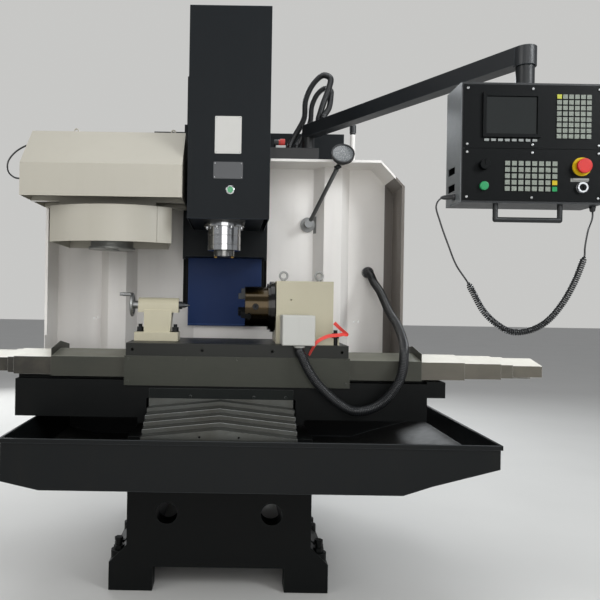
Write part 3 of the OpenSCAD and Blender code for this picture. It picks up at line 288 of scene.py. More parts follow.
def surface(name, grid):
    """Mesh of an (m, n, 3) array: every cell is a quad, rows close on themselves, end rows are filled"""
    m, n = grid.shape[:2]
    a, b = np.meshgrid(np.arange(m - 1), np.arange(n), indexing="ij")
    quads = np.stack([a * n + b, a * n + (b + 1) % n, (a + 1) * n + (b + 1) % n, (a + 1) * n + b], -1)
    faces = quads.reshape(-1, 4).tolist()
    faces += [list(range(n))[::-1], list(range((m - 1) * n, m * n))]
    made = bpy.data.meshes.new(name)
    made.from_pydata(grid.reshape(-1, 3).tolist(), [], faces)
    bm = bmesh.new()
    bm.from_mesh(made)
    bmesh.ops.remove_doubles(bm, verts=bm.verts, dist=1e-6)
    bmesh.ops.recalc_face_normals(bm, faces=bm.faces)
    bm.to_mesh(made)
    bm.free()
    made.shade_smooth()
    made.set_sharp_from_angle(angle=math.radians(40))
    piece = bpy.data.objects.new(name, made)
    bpy.context.scene.collection.objects.link(piece)
    return piece


def tube(name, line, radius, sides):
    """Round skin about a line; radius is one number or one for each point"""
    _, one, two = sides_of(line)
    turn = np.linspace(0, 2 * np.pi, sides, endpoint=False)
    ring = np.cos(turn)[None, :, None] * one[:, None] + np.sin(turn)[None, :, None] * two[:, None]
    return surface(name, line[:, None] + ring * np.broadcast_to(radius, len(line))[:, None, None])


def turned(name, centre, axis, profile, sides):
    """Profile of (height, radius) pairs in mm, turned round the axis through centre"""
    axis = np.array(axis, float) / np.linalg.norm(axis)
    one = np.cross(axis, (0.31, 0.52, 0.79))
    one /= np.linalg.norm(one)
    two = np.cross(axis, one)
    t = np.linspace(0, 2 * np.pi, sides, endpoint=False)[None, :, None]
    h, r = (np.array(v)[:, None, None] / 1000 for v in zip(*profile))
    return surface(name, np.array(centre) + h * axis + r * (np.cos(t) * one + np.sin(t) * two))


def plate(name, corner, size, radius, thick):
    """Upright plate with round corners and a rounded rim, face to -Y; corner is its lower left in metres"""
    (x, y, z), (w, h) = corner, size
    sunk = 0.0002
    left, right_side, low, top = x + radius, x + w - radius, z + radius, z + h - radius
    quarter = np.pi / 2
    turn = np.linspace(0, quarter, 7)
    ring = np.vstack([
        np.stack([cx + radius * np.cos(turn + k * quarter), cz + radius * np.sin(turn + k * quarter)], 1)
        for k, (cx, cz) in enumerate(((right_side, top), (left, top), (left, low), (right_side, low)))])
    middle = np.array([x + w / 2, z + h / 2])
    rows = [(1.0, sunk), (1.0, -thick * 0.6), (1 - thick * 0.4 / min(w, h), -thick)]
    grid = np.stack([np.stack([*((ring - middle) * share + middle).T, np.full(len(ring), y + depth)], 1)
                     for share, depth in rows])[..., [0, 2, 1]]
    return surface(name, grid)


def wear(piece, finish, body, slot, *nodes):
    """Gives a new piece its finish and body and hides the CAD nodes it stands for; slot is not used"""
    for f in finish if isinstance(finish, (list, tuple)) else [finish]:
        piece.data.materials.append(f.material)
    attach(piece, body)
    if nodes:
        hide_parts(*nodes)
    return piece


rubber = Finish("black_rubber", Roughness=0.3, Specular_IOR_Level=0.55)
rubber.set(Base_Color=rubber.mix(rubber.noise(60, 4), hue("121315"), hue("202224")))
rubber.bump(rubber.noise(1400, 2), 0.0002, 0.5)

coil_a = np.array([[773, -598, 1493], [748, -599, 1493], [724, -600, 1484], [713, -600, 1462],
                   [727, -600, 1409], [755, -600, 1333], [783, -600, 1266], [822, -600, 1209]]) / 1000
coil_b = np.array([[820, -600, 1212], [841, -600, 1174], [876, -600, 1114], [920, -600, 1072],
                   [973, -600, 1046], [1037, -600, 1054], [1089, -600, 1084], [1138, -600, 1142],
                   [1177, -600, 1213], [1203, -600, 1280], [1211, -600, 1306]]) / 1000
coil_c = np.array([[1210, -600, 1303], [1211, -600, 1330], [1221, -600, 1390],
                   [1234, -600, 1430], [1234, -600, 1467]]) / 1000
wire_d, winding_r, pitch = 0.0056, 0.0084, 0.0071
run_in, fine_step, skin_step = 0.02, 0.0006, 0.0024
middle = smooth_line(np.vstack([coil_a, coil_b[1:-1], coil_c]), fine_step)
run = np.concatenate([[0], np.cumsum(np.linalg.norm(np.diff(middle, axis=0), axis=1))])
first = run[np.argmin(np.linalg.norm(middle - coil_b[0], axis=1))]
last = run[np.argmin(np.linalg.norm(middle - coil_b[-1], axis=1))]
_, one, two = sides_of(middle)
grown = np.clip((run - first) / run_in, 0, 1) * np.clip((last - run) / run_in, 0, 1)
grown = grown * grown * (3 - 2 * grown) * winding_r
phase = 2 * np.pi * np.clip(run - first, 0, last - first) / pitch
wound = middle + grown[:, None] * (np.cos(phase)[:, None] * one + np.sin(phase)[:, None] * two)
length = np.concatenate([[0], np.cumsum(np.linalg.norm(np.diff(wound, axis=0), axis=1))])
samples = int(length[-1] / skin_step)
wound = np.stack([np.interp(np.linspace(0, length[-1], samples), length, wound[:, k]) for k in range(3)], 1)
cable = tube("pendant_coiled_cable", wound, wire_d / 2, 8)
wear(cable, rubber, "pendant", "black_rubber", "coiled_cable")

# CORRUGATED CONDUITS
# Black nylon conduit with ribs 6.6 mm apart: one from the splash guard to the rotary table's motor,
# which hangs in a deep bow before the saddle, and two loops behind the pendant arm's bracket. A thin
# smooth cable joins two glands at the magazine's side.
conduit_points = np.array([
    [699, 403.5, 1283], [699, 390, 1283], [705, 371, 1267], [712, 350, 1240],
    [731, 280, 1186], [746, 160, 1095], [756, 40, 1033],
    [748, -80, 975], [724, -185, 935], [709, -230, 883], [690, -250, 834], [656, -262, 785],
    [613, -270, 747], [562, -276, 724], [508, -278, 720], [454, -276, 746], [405, -270, 786],
    [363, -262, 831], [332, -252, 880], [314, -240, 920], [306, -231, 936],
    [303, -226, 944], [303, -226, 954.6]]) / 1000
rib_pitch = 0.0066
step_along = rib_pitch / 6
conduit_r, conduit_rib = 0.019, 0.0022
loop_rib = 0.002
change_over = (0.748, -0.080, 0.975)


def ribbed(name, line, outer, depth):
    """Round skin whose radius falls by depth between ribs: a rounded square wave along the line"""
    at = np.linalg.norm(np.diff(line, axis=0), axis=1).cumsum()
    wave = np.sin(2 * np.pi * np.concatenate([[0], at]) / rib_pitch)
    return tube(name, line, outer - depth * (0.5 - 0.5 * np.tanh(2.2 * wave) / math.tanh(2.2)), 20)


# The conduit bends across two joints, so it is cut at change_over, above the covers, and each half
# is taken off its one body and keeps its place in the world.
hose = smooth_line(conduit_points, step_along)
split = int(np.argmin(np.linalg.norm(hose - change_over, axis=1)))
swing = ribbed("conduit_guard_half", hose[:split + 1], conduit_r, conduit_rib)
wear(swing, rubber, "base", "black_rubber")
bow = ribbed("conduit_motor_half", hose[split:], conduit_r, conduit_rib)
wear(bow, rubber, "base", "black_rubber", "rotary_conduit")
for piece, a, b, start, end in ((swing, "base", "saddle", hose[0], hose[split]),
                                (bow, "saddle", "table", hose[split], hose[-1])):
    piece.parent = None
    del piece["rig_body"]
    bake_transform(piece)

loop_a = np.array([[312, 456, 1888.4], [312, 456, 1902], [322, 478, 1930], [350, 506, 1985],
                   [386, 512, 2060], [392, 500, 2150], [428, 480, 2226], [471, 455, 2258], [503, 430, 2236],
                   [494, 405, 2180], [464, 385, 2095], [446, 374, 2035], [441, 371, 2018],
                   [441, 371, 2003.6]]) / 1000
loop_b = np.array([[347, 456, 1888.4], [347, 456, 1902], [356, 478, 1920], [382, 512, 1970],
                   [418, 520, 2045], [424, 510, 2120], [450, 495, 2178], [482, 478, 2200], [508, 456, 2184],
                   [506, 425, 2140], [492, 385, 2075], [466, 350, 2030], [461, 338, 2018],
                   [461, 338, 2003.6]]) / 1000
mag_cable = np.array([[-820.3, -20, 1780], [-828, -20, 1780], [-840, -24, 1776], [-880, -40, 1745],
                      [-908, -50, 1700], [-906, -50, 1660], [-880, -50, 1636], [-850, -50, 1632],
                      [-828, -50, 1632], [-820.3, -50, 1632]]) / 1000
loop = ribbed("arm_loop_rear", smooth_line(loop_a, step_along), 0.015, loop_rib)
wear(loop, rubber, "base", "black_rubber", "fixed_conduits")
loop = ribbed("arm_loop_front", smooth_line(loop_b, step_along), 0.014, loop_rib)
wear(loop, rubber, "base", "black_rubber")
wear(tube("magazine_cable", smooth_line(mag_cable, 0.006), 0.0035, 10), rubber, "base", "black_rubber")

# BASE CASTING, COLUMN AND LEVELLING SCREWS
# Grey iron castings, filled and painted near black in the foundry; the surface keeps a soft skin
# under the paint, and corners show where slings and boots have rubbed it.
body_of = {n: b for b, nodes in frame["record"]["behaviour"]["bodies"].items() for n in nodes}
slot_of = {s["node"]: s["material_slot"] for s in frame["record"]["subparts"]}


def rounded(node, width, finish, edge=None, segments=2):
    """A CAD node with its triangles joined, flat faces merged and edges rounded, in a worn edge finish"""
    sharp = math.radians(28.0)
    bm = bmesh.new()
    bm.from_mesh(frame["nodes"][node].data)
    bmesh.ops.remove_doubles(bm, verts=bm.verts, dist=2e-5)
    bmesh.ops.dissolve_limit(bm, angle_limit=math.radians(0.6), verts=bm.verts, edges=bm.edges)
    made = bpy.data.meshes.new(node + "_finished")
    bm.to_mesh(made)
    bm.free()
    made.shade_smooth()
    made.set_sharp_from_angle(angle=sharp)
    piece = bpy.data.objects.new(made.name, made)
    bpy.context.scene.collection.objects.link(piece)
    soft = piece.modifiers.new("edges", "BEVEL")
    soft.width, soft.segments, soft.limit_method = width, segments, "ANGLE"
    soft.angle_limit, soft.use_clamp_overlap = sharp, True
    soft.material = 1 if edge else -1
    piece.modifiers.new("shading", "WEIGHTED_NORMAL").keep_sharp = True
    return wear(piece, [finish, edge] if edge else finish, body_of[node], slot_of[node], node)


def enamel(name, colour, rough=0.42, tone=0.12, dirt=0.35, soil="3a342c", streak=0.25, skin=0.0,
           peel=0.00012, dust=0.0, dust_hue="8b8880", **more):
    """Sprayed paint: slow changes of tone, soil in patches and runs, dust on top, a fine peel"""
    f = Finish(name, **more)
    base = np.array(hue(colour))
    low, high = (tuple((base * [s, s, s, 1]).tolist()) for s in (1 - tone, 1 + tone))
    skin_colour = f.mix(f.noise(3.1, 4), low, high)
    patches = f.noise(11.0, 7, rough=0.65).step(0.52, 0.78)
    runs = f.noise(26.0, 4, stretch=(1, 1, 0.07)).step(0.56, 0.8)
    soiled = (patches * dirt + runs * streak).maths("MINIMUM", 0.85)
    skin_colour = f.mix(soiled, skin_colour, hue(soil))
    roughness = f.noise(40.0, 3) * 0.12 + (rough - 0.06) + soiled * 0.2
    if dust:
        lying = f.up() * f.noise(30.0, 6, rough=0.7).step(0.3, 0.7) * dust
        skin_colour = f.mix(lying, skin_colour, hue(dust_hue))
        roughness = roughness + lying * 0.3
    f.set(Base_Color=skin_colour, Roughness=roughness)
    height = f.noise(620.0, 2) * peel * 1000.0
    if skin:
        height = height + f.noise(120.0, 5, rough=0.6) * skin * 1000.0 + f.noise(22.0, 3) * skin * 2500.0
    return f.bump(height, 0.001)


def worn(name, colour, metal="777a7b", share=0.5, rough=0.4):
    """The paint along an edge: rubbed thin, with bare metal where the noise is high"""
    f = Finish(name)
    bare = f.noise(70.0, 6, rough=0.75).step(1 - share * 0.62, 1.06 - share * 0.55)
    f.set(Base_Color=f.mix(bare, hue(colour, 1.25), hue(metal)), Metallic=bare * 0.8, Roughness=rough)
    return f


cast_paint = enamel("foundry_black", "050707", 0.5, 0.16, 0.2, "141210", 0.25, skin=0.00016, dust=0.16,
                    dust_hue="232220", Specular_IOR_Level=0.14)
cast_edge = worn("foundry_black_edge", "191e1c", "4e5150", share=0.24)
way_steel = Finish("ground_steel", Metallic=1.0)
scored = way_steel.noise(900.0, 2, stretch=(0.02, 1, 1)) * 0.5 + way_steel.noise(7.0, 4) * 0.5
way_steel.set(Base_Color=way_steel.mix(scored, hue("7e8081"), hue("b4b5b3")), Roughness=scored * 0.18 + 0.2)
way_steel.bump(scored, 0.0002, 0.4)
rounded("machine_base", 0.007, cast_paint, cast_edge, 3)
rounded("column", 0.007, cast_paint, cast_edge, 3)
rounded("levelling_screws", 0.0012, cast_paint)

# CHIP TRAY
# Folded and welded sheet steel with a rolled rim, in the same dark enamel, scuffed by swarf inside
# and chalky where coolant has dried.
tray_paint = enamel("tray_enamel", "0a0d0e", 0.48, 0.1, 0.25, "171613", 0.3, dust=0.3, dust_hue="3a3935",
                    Specular_IOR_Level=0.2)
rounded("chip_tray", 0.0012, tray_paint, worn("tray_edge", "24282b", "5b5d5c", share=0.26))

# SADDLE AND ITS COVERS IN Y
# The saddle is cast like the base. Five gable plates of brushed steel slide under each other in
# front of it; oil and coolant have dulled them unevenly.
rounded("saddle", 0.005, cast_paint, cast_edge, 3)


def sheet_metal(name, dark, light, rough=0.34, grain=(1, 0.02, 1), film=0.5, metal=0.85,
                soil="6b6a64", dark_over=None, painted_top_reflection=None):
    """Brushed sheet: fine lines along the grain, a dry film of coolant in clouds; black over a height
    dark_over, and a painted reflection of another colour on its tops"""
    f = Finish(name)
    lines = f.noise(1100.0, 2, stretch=grain)
    clouds = f.noise(6.0, 6, rough=0.62).step(0.35, 0.75)
    base = f.mix(lines * 0.55 + f.noise(2.3, 3) * 0.45, hue(dark), hue(light))
    skin = f.mix(clouds * film, base, hue(soil))
    if dark_over:
        skin = f.mix(f.axis("Z") > dark_over, skin, hue("191c1b"))
    # Painted reflection: up-facing faces take a paler colour, as if they shone back the light.
    if painted_top_reflection:
        skin = f.mix(f.up(), skin, hue(painted_top_reflection))
    f.set(Base_Color=skin, Metallic=metal,
          Roughness=clouds * 0.2 + lines * 0.08 + rough)
    return f.bump(lines, 0.00015, 0.5)


gable_steel = sheet_metal("gable_steel", "3e403f", "666864", soil="3f392f")
strip_z = 0.7455
gable_first = sheet_metal("gable_first", "3e403f", "666864", soil="3f392f", dark_over=strip_z)
rounded("y_cover_1", 0.0006, gable_first, worn("y_cover_1_edge", "4c4f4d", "7a7b79", 0.6, 0.3))
for node in ("y_cover_2", "y_cover_3", "y_cover_4", "y_cover_fixed"):
    rounded(node, 0.0006, gable_steel, worn(node + "_edge", "8c8f8e", "c2c3c0", 0.8, 0.3))

# COVERS IN X
# Three boxes on each side run on the X ways between the table and the cover on the saddle's arm.
# The inner pair is bare sheet fixed to the table; the others are satin sheet with pale rubbed lips.
# A painted reflection makes all their tops bright, and painted shade darkens the left boxes' fronts.
inner_sheet = sheet_metal("inner_cover_sheet", "2a2c27", "43443c", 0.4, (0.02, 1, 1), 0.5, 0.5,
                          soil="4a4840", painted_top_reflection="86867b")
pale_edge = worn("cover_white_edge", "d8d6cf", "a9aaa7", 0.35, 0.35)
cover_paint = Finish("cover_satin", Specular_IOR_Level=0.5)
lines = cover_paint.noise(900.0, 2, stretch=(0.02, 1, 1))
marks = cover_paint.noise(9.0, 6, rough=0.65).step(0.42, 0.8)
fronts = cover_paint.mix(lines * 0.5 + cover_paint.noise(3.0, 3) * 0.5, hue("4b4841"), hue("68645a"))
# Painted shade: the fronts of the boxes on the left are darkened.
painted_shade_left_x = -0.5
fronts = cover_paint.mix(cover_paint.axis("X") < painted_shade_left_x, fronts, hue("302e29"))
# Painted reflection: the tops are near white, as if window light shone back from them.
painted_top_reflection = cover_paint.mix(cover_paint.noise(14.0, 5), hue("ebe8dc"), hue("f4f1e7"))
clean = cover_paint.mix(cover_paint.up(), fronts, painted_top_reflection)
cover_paint.set(Base_Color=cover_paint.mix(marks * 0.2, clean, hue("857d6b")),
                Metallic=cover_paint.up() * -0.3 + 0.3, Roughness=marks * 0.2 + lines * 0.08 + 0.34)
cover_paint.bump(lines, 0.00012, 0.4)
rounded("x_cover_table", 0.0006, inner_sheet, worn("inner_cover_edge", "82847c", "b5b5b0", 0.7, 0.3))
for node in ("x_cover_right_1", "x_cover_right_2", "x_cover_right_3", "x_cover_left_1",
             "x_cover_left_2", "x_cover_left_3", "x_cover_ends"):
    rounded(node, 0.0006, cover_paint, pale_edge)

# DRIVES
# Ball screws are ground steel with a round-bottomed thread, 10 mm lead; the servo motors are
# black die castings with a flange, a plug and a round encoder cap.
motor_paint = enamel("motor_black", "131416", 0.38, 0.1, 0.15, "2b2a27", 0.1, dust=0.3)
rounded("axis_motors", 0.002, motor_paint)
rounded("x_servo_motor", 0.002, motor_paint)
lead = 0.010


def ball_screw(name, node, axis):
    """Thread on a bar: the radius is a wave of length minus turn, so the crest winds once per lead"""
    low, high = (np.array(v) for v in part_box(node))
    order = {0: (1, 2, 0), 1: (2, 0, 1), 2: (0, 1, 2)}[axis]
    length = high[axis] - low[axis]
    radius = 0.015 if node == "x_ball_screw" else 0.016
    s = np.linspace(0, length, int(length / lead * 8) + 1)[:, None]
    t = np.linspace(0, 2 * np.pi, 20, endpoint=False)[None, :]
    wave = np.cos(2 * np.pi * s / lead - t)
    plain = np.clip(np.minimum(s, length - s) / 0.03 - 1, 0, 1)
    r = radius - 0.0006 - plain * 0.0022 * np.clip(0.35 - wave, 0, 1)
    grid = np.zeros((len(s), t.shape[1], 3))
    centre = (low + high) / 2
    grid[..., order[0]] = centre[order[0]] + r * np.cos(t)
    grid[..., order[1]] = centre[order[1]] + r * np.sin(t)
    grid[..., order[2]] = low[axis] + s
    return wear(surface(name, grid), way_steel, body_of[node], slot_of[node], node)


ball_screw("x_ball_screw_thread", "x_ball_screw", 0)
ball_screw("z_ball_screw_thread", "z_ball_screw", 2)
ball_screw("y_ball_screw_thread", "y_ball_screw", 1)

# SPLASH GUARD
# A pan of white enamelled sheet bolted to the column, with deep flanges, a folded lip and two boxed
# ribs. The air filter's head and the conduit's gland on it are black, the lamp's foot is bare metal;
# painted shade darkens its far flange and the part behind the magazine.
guard_paint = enamel("guard_white", "f8f5f1", 0.4, 0.02, 0.05, "b4ada4", 0.08, dust=0.05, dust_hue="b8b3a8")
plain = guard_paint.shader.inputs["Base Color"].links[0].from_socket
filter_head = (None, None, (1.965, 2.1))
conduit_gland = ((0.67, 0.73), (0.3, 0.4288), (1.25, 1.315))
lamp_foot = ((0.36, 0.443), (0.3, 0.4288), (1.47, 1.553))
far_flange_painted_shade = ((0.78, 0.83), (0.2, 0.44), (0.72, 1.9))
magazine_painted_shade = ((-0.9, -0.15), None, None)
fittings = guard_paint.within(*filter_head) + guard_paint.within(*conduit_gland)
# Painted shade: the far flange's inner face is darkened.
skin = guard_paint.mix(guard_paint.within(*far_flange_painted_shade), Wire(guard_paint, plain), hue("6f6963"))
# Painted shade: the part behind the magazine is darkened a little.
skin = guard_paint.mix(guard_paint.within(*magazine_painted_shade) * 0.22, skin, hue("77736c"))
skin = guard_paint.mix(guard_paint.within(*lamp_foot), skin, hue("8b8c8b"))
guard_paint.set(Base_Color=guard_paint.mix(fittings, skin, hue("26292b")))
rounded("splash_guard", 0.0010, guard_paint, worn("guard_edge", "e6e4e0", "b9b9b6", 0.25, 0.35))

# ELECTRICAL CABINET
# A folded steel box behind the column that holds the drives, with a door on pin hinges, both in dark
# blue-black textured paint.
navy = enamel("navy_texture", "090f13", 0.48, 0.08, 0.14, "1d1f20", 0.12, peel=0.0004, dust=0.2,
              dust_hue="3d3f3f", Specular_IOR_Level=0.18)
navy_edge = worn("navy_edge", "272e37", "5f6367", share=0.22)
rounded("electrical_cabinet", 0.002, navy, navy_edge)
rounded("cabinet_door", 0.002, navy, navy_edge)

# TOOL MAGAZINE
# An enamelled housing bolted to the column; a carriage with the drum's round cover hangs on rails
# beneath it, and the drum's hub disc and knob show under the cover.
mag_paint = enamel("magazine_cream", "aca89c", 0.36, 0.03, 0.1, "9f998c", 0.14, dust=0.25,
                   dust_hue="a8a397")
mag_edge = worn("magazine_edge", "d9d7d0", "b5b5b0", 0.25, 0.35)
rounded("magazine_housing", 0.0012, mag_paint, mag_edge)
rounded("drum_carriage", 0.0012, mag_paint, mag_edge)
drum_steel = sheet_metal("drum_steel", "80827f", "a5a6a2", 0.3, (1, 1, 0.05), 0.3)
rounded("tool_drum", 0.0008, drum_steel)

# TABLE AND APRON
# The table is scraped and ground grey iron, dark with oil, with five T-slots; a brushed steel apron
# hangs from its front edge on screws.
table_iron = Finish("table_iron")
marks = table_iron.noise(160.0, 3, stretch=(0.12, 1, 1)) * 0.6 + table_iron.noise(5.0, 5) * 0.4
olive = table_iron.mix(marks, hue("0a0c09"), hue("171914"))
ground = table_iron.mix(marks, hue("111310"), hue("232521"))
table_iron.set(Base_Color=table_iron.mix(table_iron.up(), olive, ground), Metallic=0.45,
               Roughness=marks * 0.22 + 0.24)
table_iron.bump(marks, 0.0003, 0.4)
rounded("table", 0.0012, table_iron, worn("table_edge", "4a4c47", "8f908c", 0.8, 0.3))
apron_steel = sheet_metal("apron_steel", "262823", "3e4038", 0.36, (0.02, 1, 1), 0.4, 0.6, soil="4b4a44")
rounded("table_apron", 0.0007, apron_steel, worn("apron_edge", "7d7f7e", "b8b8b5", 0.8, 0.3))

# TAILSTOCK
# A small cast body in cream enamel, a hardened quill with a carbide tipped centre, and a steel
# handwheel with a turned grip.
cream = enamel("attachment_cream", "b7b199", 0.34, 0.04, 0.12, "8e866c", 0.12, skin=0.00004, dust=0.1)
cream_edge = worn("attachment_edge", "ddd7bf", "9c9a8f", 0.3, 0.35)
rounded("tailstock_body", 0.0025, cream, cream_edge, 3)
dark_steel = sheet_metal("dark_steel", "37393b", "626466", 0.28, (1, 1, 0.05), 0.2, 0.95)
rounded("tailstock_quill", 0.0006, dark_steel)
bright_steel = sheet_metal("bright_steel", "8b8d8e", "bcbdbc", 0.24, (1, 1, 0.05), 0.15, 0.95)
rounded("tailstock_handwheel", 0.0008, bright_steel)

# ROTARY TABLE WITH CHUCK
# A cream cast housing with the motor box at its side; a dark faceplate carries a three-jaw chuck,
# turned and oiled so that it shines like old brass, with hardened jaws and a square pinion socket.
rounded("rotary_housing", 0.003, cream, cream_edge, 3)
box_grey = enamel("motor_box_grey", "b5b5b0", 0.34, 0.03, 0.1, "86847c", 0.1)
rounded("rotary_motor_box", 0.006, box_grey, worn("motor_box_edge", "a5a5a0", "a2a3a1", 0.2, 0.35), 3)
oiled = Finish("oiled_chuck", Metallic=1.0, Coat_Weight=0.4, Coat_Roughness=0.08)
rings = oiled.noise(300.0, 2, stretch=(1, 0.02, 0.02)) * 0.5 + oiled.noise(9.0, 4) * 0.5
faceplate_x = (0.1875, 0.189)
along = oiled.axis("X").step(*faceplate_x)
oiled.set(Base_Color=oiled.mix(along, oiled.mix(rings, hue("1e170b"), hue("45371d")), hue("222120")),
          Roughness=rings * 0.16 + 0.16)
oiled.bump(rings, 0.0003, 0.35)
rounded("chuck", 0.0012, oiled)
jaw_steel = sheet_metal("jaw_steel", "1f2123", "3c3e40", 0.32, (1, 1, 0.05), 0.2, 0.9)
for node in ("chuck_jaw_1", "chuck_jaw_2", "chuck_jaw_3"):
    rounded(node, 0.0009, jaw_steel)
oxide = Finish("black_oxide", Metallic=0.6)
eyebolts_z = 1.2
eyebolts = oxide.axis("Z") > eyebolts_z
blacked = oxide.mix(oxide.noise(50, 4), hue("0c0d0e"), hue("1e1f20"))
oxide.set(Base_Color=oxide.mix(eyebolts, blacked, hue("a5a6a4")),
          Roughness=oxide.noise(90, 3) * 0.2 + 0.28)
rounded("clamp_fittings", 0.0010, oxide)
rounded("chuck_pinion", 0.0009, oxide)

# HEAD
# The spindle head's casting runs on the column; a tall cover of dark blue-black textured sheet
# hides its motor. A blue cover plate hangs from the slide and shields the ways below it.
rounded("head_casting", 0.003, navy, navy_edge)
rounded("head_cover", 0.003, navy, navy_edge, 3)
blue = enamel("blue_cover", "072b5e", 0.45, 0.08, 0.08, "101d33", 0.1, Specular_IOR_Level=0.2)
rounded("z_way_cover", 0.0006, blue, worn("blue_edge", "35548a", "9aa0a8", 0.5, 0.3))
chrome = Finish("spindle_chrome", Metallic=1.0)
fine = chrome.noise(800.0, 2, stretch=(0.02, 0.02, 1))
chrome.set(Base_Color=chrome.mix(chrome.noise(20, 3), hue("a9aaab"), hue("cfd0d1")),
           Roughness=fine * 0.08 + 0.08)
chrome.bump(fine, 0.00012, 0.3)
rounded("spindle_cartridge", 0.0010, chrome)
nose_steel = Finish("nose_steel", Metallic=1.0)
drive_keys_z = 1.3218
keys = nose_steel.axis("Z") < drive_keys_z
nose_steel.set(Base_Color=nose_steel.mix(keys, hue("7a7a78"), hue("5c4822")), Roughness=0.24)
rounded("spindle_nose", 0.0006, nose_steel)
green = Finish("green_button", Coat_Weight=0.5, Roughness=0.3)
green.set(Base_Color=green.mix(green.noise(200, 2), hue("0e7a48"), hue("149457")))
rounded("tool_release_button", 0.0012, green, segments=3)

# BLANK PLATES AND BUTTON RING ON THE HEAD
# Two sheet plates without print, each held by four rivets, and the turned chrome ring that the tool
# release button sits in.
blank_pale = enamel("blank_plate_pale", "b9b8b4", 0.32, 0.02, 0.06, "8f8c83", 0.06, peel=0.00003)
blank_dark = enamel("blank_plate_dark", "34373a", 0.3, 0.04, 0.08, "4a4a47", 0.06, peel=0.00003)
head_face, inset = -0.150, 0.006
on_head = (body_of["head_cover"], slot_of["head_cover"])
rivet_shape = [(0, 2.2), (0.5, 2.0), (0.9, 1.3), (1.1, 0.3)]
for name, x, z, w, h, finish in (("plate_upper", -0.042, 1.727, 0.107, 0.151, blank_pale),
                                 ("plate_lower", -0.046, 1.626, 0.119, 0.068, blank_dark)):
    wear(plate(name, (x, head_face, z), (w, h), 0.004, 0.0009), finish, *on_head)
    for i, (u, v) in enumerate((u, v) for v in (inset, h - inset) for u in (inset, w - inset)):
        rivet = turned(f"{name}_rivet_{i}", (x + u, head_face - 0.0008, z + v), (0, -1, 0), rivet_shape, 12)
        wear(rivet, chrome, *on_head)
ring_shape = [(0.2, 17.7), (2.4, 17.7), (3.4, 16.6), (3.6, 14.2), (2.6, 13.2), (0.4, 13.0)]
wear(turned("release_ring", (0.023, head_face, 1.581), (0, -1, 0), ring_shape, 40), chrome, *on_head)

# RIBBON TIE
# A red cloth ribbon tied round the clamp stud of the rotary table, woven flat: a loop behind the stud
# and a tail that falls over the table's edge.
cloth = Finish("red_ribbon", Roughness=0.7, Sheen_Weight=0.3)
weave = cloth.noise(1600.0, 1)
cloth.set(Base_Color=cloth.mix(weave, hue("d02a24"), hue("f0564a")))
cloth.bump(weave, 0.0002, 0.6)
tail = [(0.484, -0.186, 1.010), (0.466, -0.190, 1.006), (0.4186, -0.193, 1.000),
        (0.3755, -0.205, 0.978), (0.357, -0.211, 0.952), (0.3426, -0.213, 0.925)]
loop = [(0.4448, -0.186, 1.0535), (0.470, -0.188, 1.030), (0.498, -0.184, 1.007), (0.476, -0.187, 1.009)]
half_width, half_thick, twist = 0.0070, 0.0004, 0.9
corners = ((-1, -1), (1, -1), (1, 1), (-1, 1))
for name, points in (("ribbon_tail", tail), ("ribbon_loop", loop)):
    line = smooth_line(np.array(points), 0.003)
    ahead, _, _ = sides_of(line)
    flat = np.cross(ahead, (0.25, 1.0, 0.1))
    flat /= np.linalg.norm(flat, axis=1)[:, None]
    share = np.linspace(0, 1, len(line))[:, None]
    flat = flat * np.cos(twist * share) + np.cross(ahead, flat) * np.sin(twist * share)
    thick = np.cross(ahead, flat)
    grid = np.stack([line + flat * half_width * a + thick * half_thick * b for a, b in corners], 1)
    wear(surface(name, grid), cloth, body_of["rotary_housing"], slot_of["clamp_fittings"])

# PENDANT ARM
# Square steel tube from the post on its bracket to the hub over the pendant, welded and painted
# black; the bracket also carries a pneumatic fitting with a white block and a red cap.
arm_black = enamel("arm_black", "191c1f", 0.4, 0.1, 0.2, "2c2c28", 0.12, dust=0.45, dust_hue="6f6d68")
arm_edge = worn("arm_edge", "2f3438", share=0.3)
bracket_black = enamel("bracket_black", "0f1113", 0.42, 0.1, 0.2, "2c2c28", 0.12, dust=0.4,
                       dust_hue="6f6d68")
plain = bracket_black.shader.inputs["Base Color"].links[0].from_socket
white_block = ((0.24, 0.29), (0.41, 0.48), (1.8885, 1.902))
red_cap = ((0.255, 0.29), (0.41, 0.48), (1.902, 1.945))
skin = bracket_black.mix(bracket_black.within(*white_block), Wire(bracket_black, plain), hue("c9cac8"))
skin = bracket_black.mix(bracket_black.within(*red_cap), skin, hue("c4281f"))
bracket_black.set(Base_Color=skin)
rounded("arm_bracket", 0.0015, bracket_black, arm_edge)
rounded("pendant_arm", 0.004, arm_black, arm_edge, 3)

# PENDANT
# A folded sheet steel box with a dark front plate on screws, a screen, two fields of keys, an
# emergency stop with its yellow ring, a start button, an override knob and a key switch's ring.
shell = enamel("pendant_shell", "16191b", 0.4, 0.06, 0.1, "3a3a36", 0.08, dust=0.25,
               dust_hue="63635f", Specular_IOR_Level=0.4)
plain = shell.shader.inputs["Base Color"].links[0].from_socket
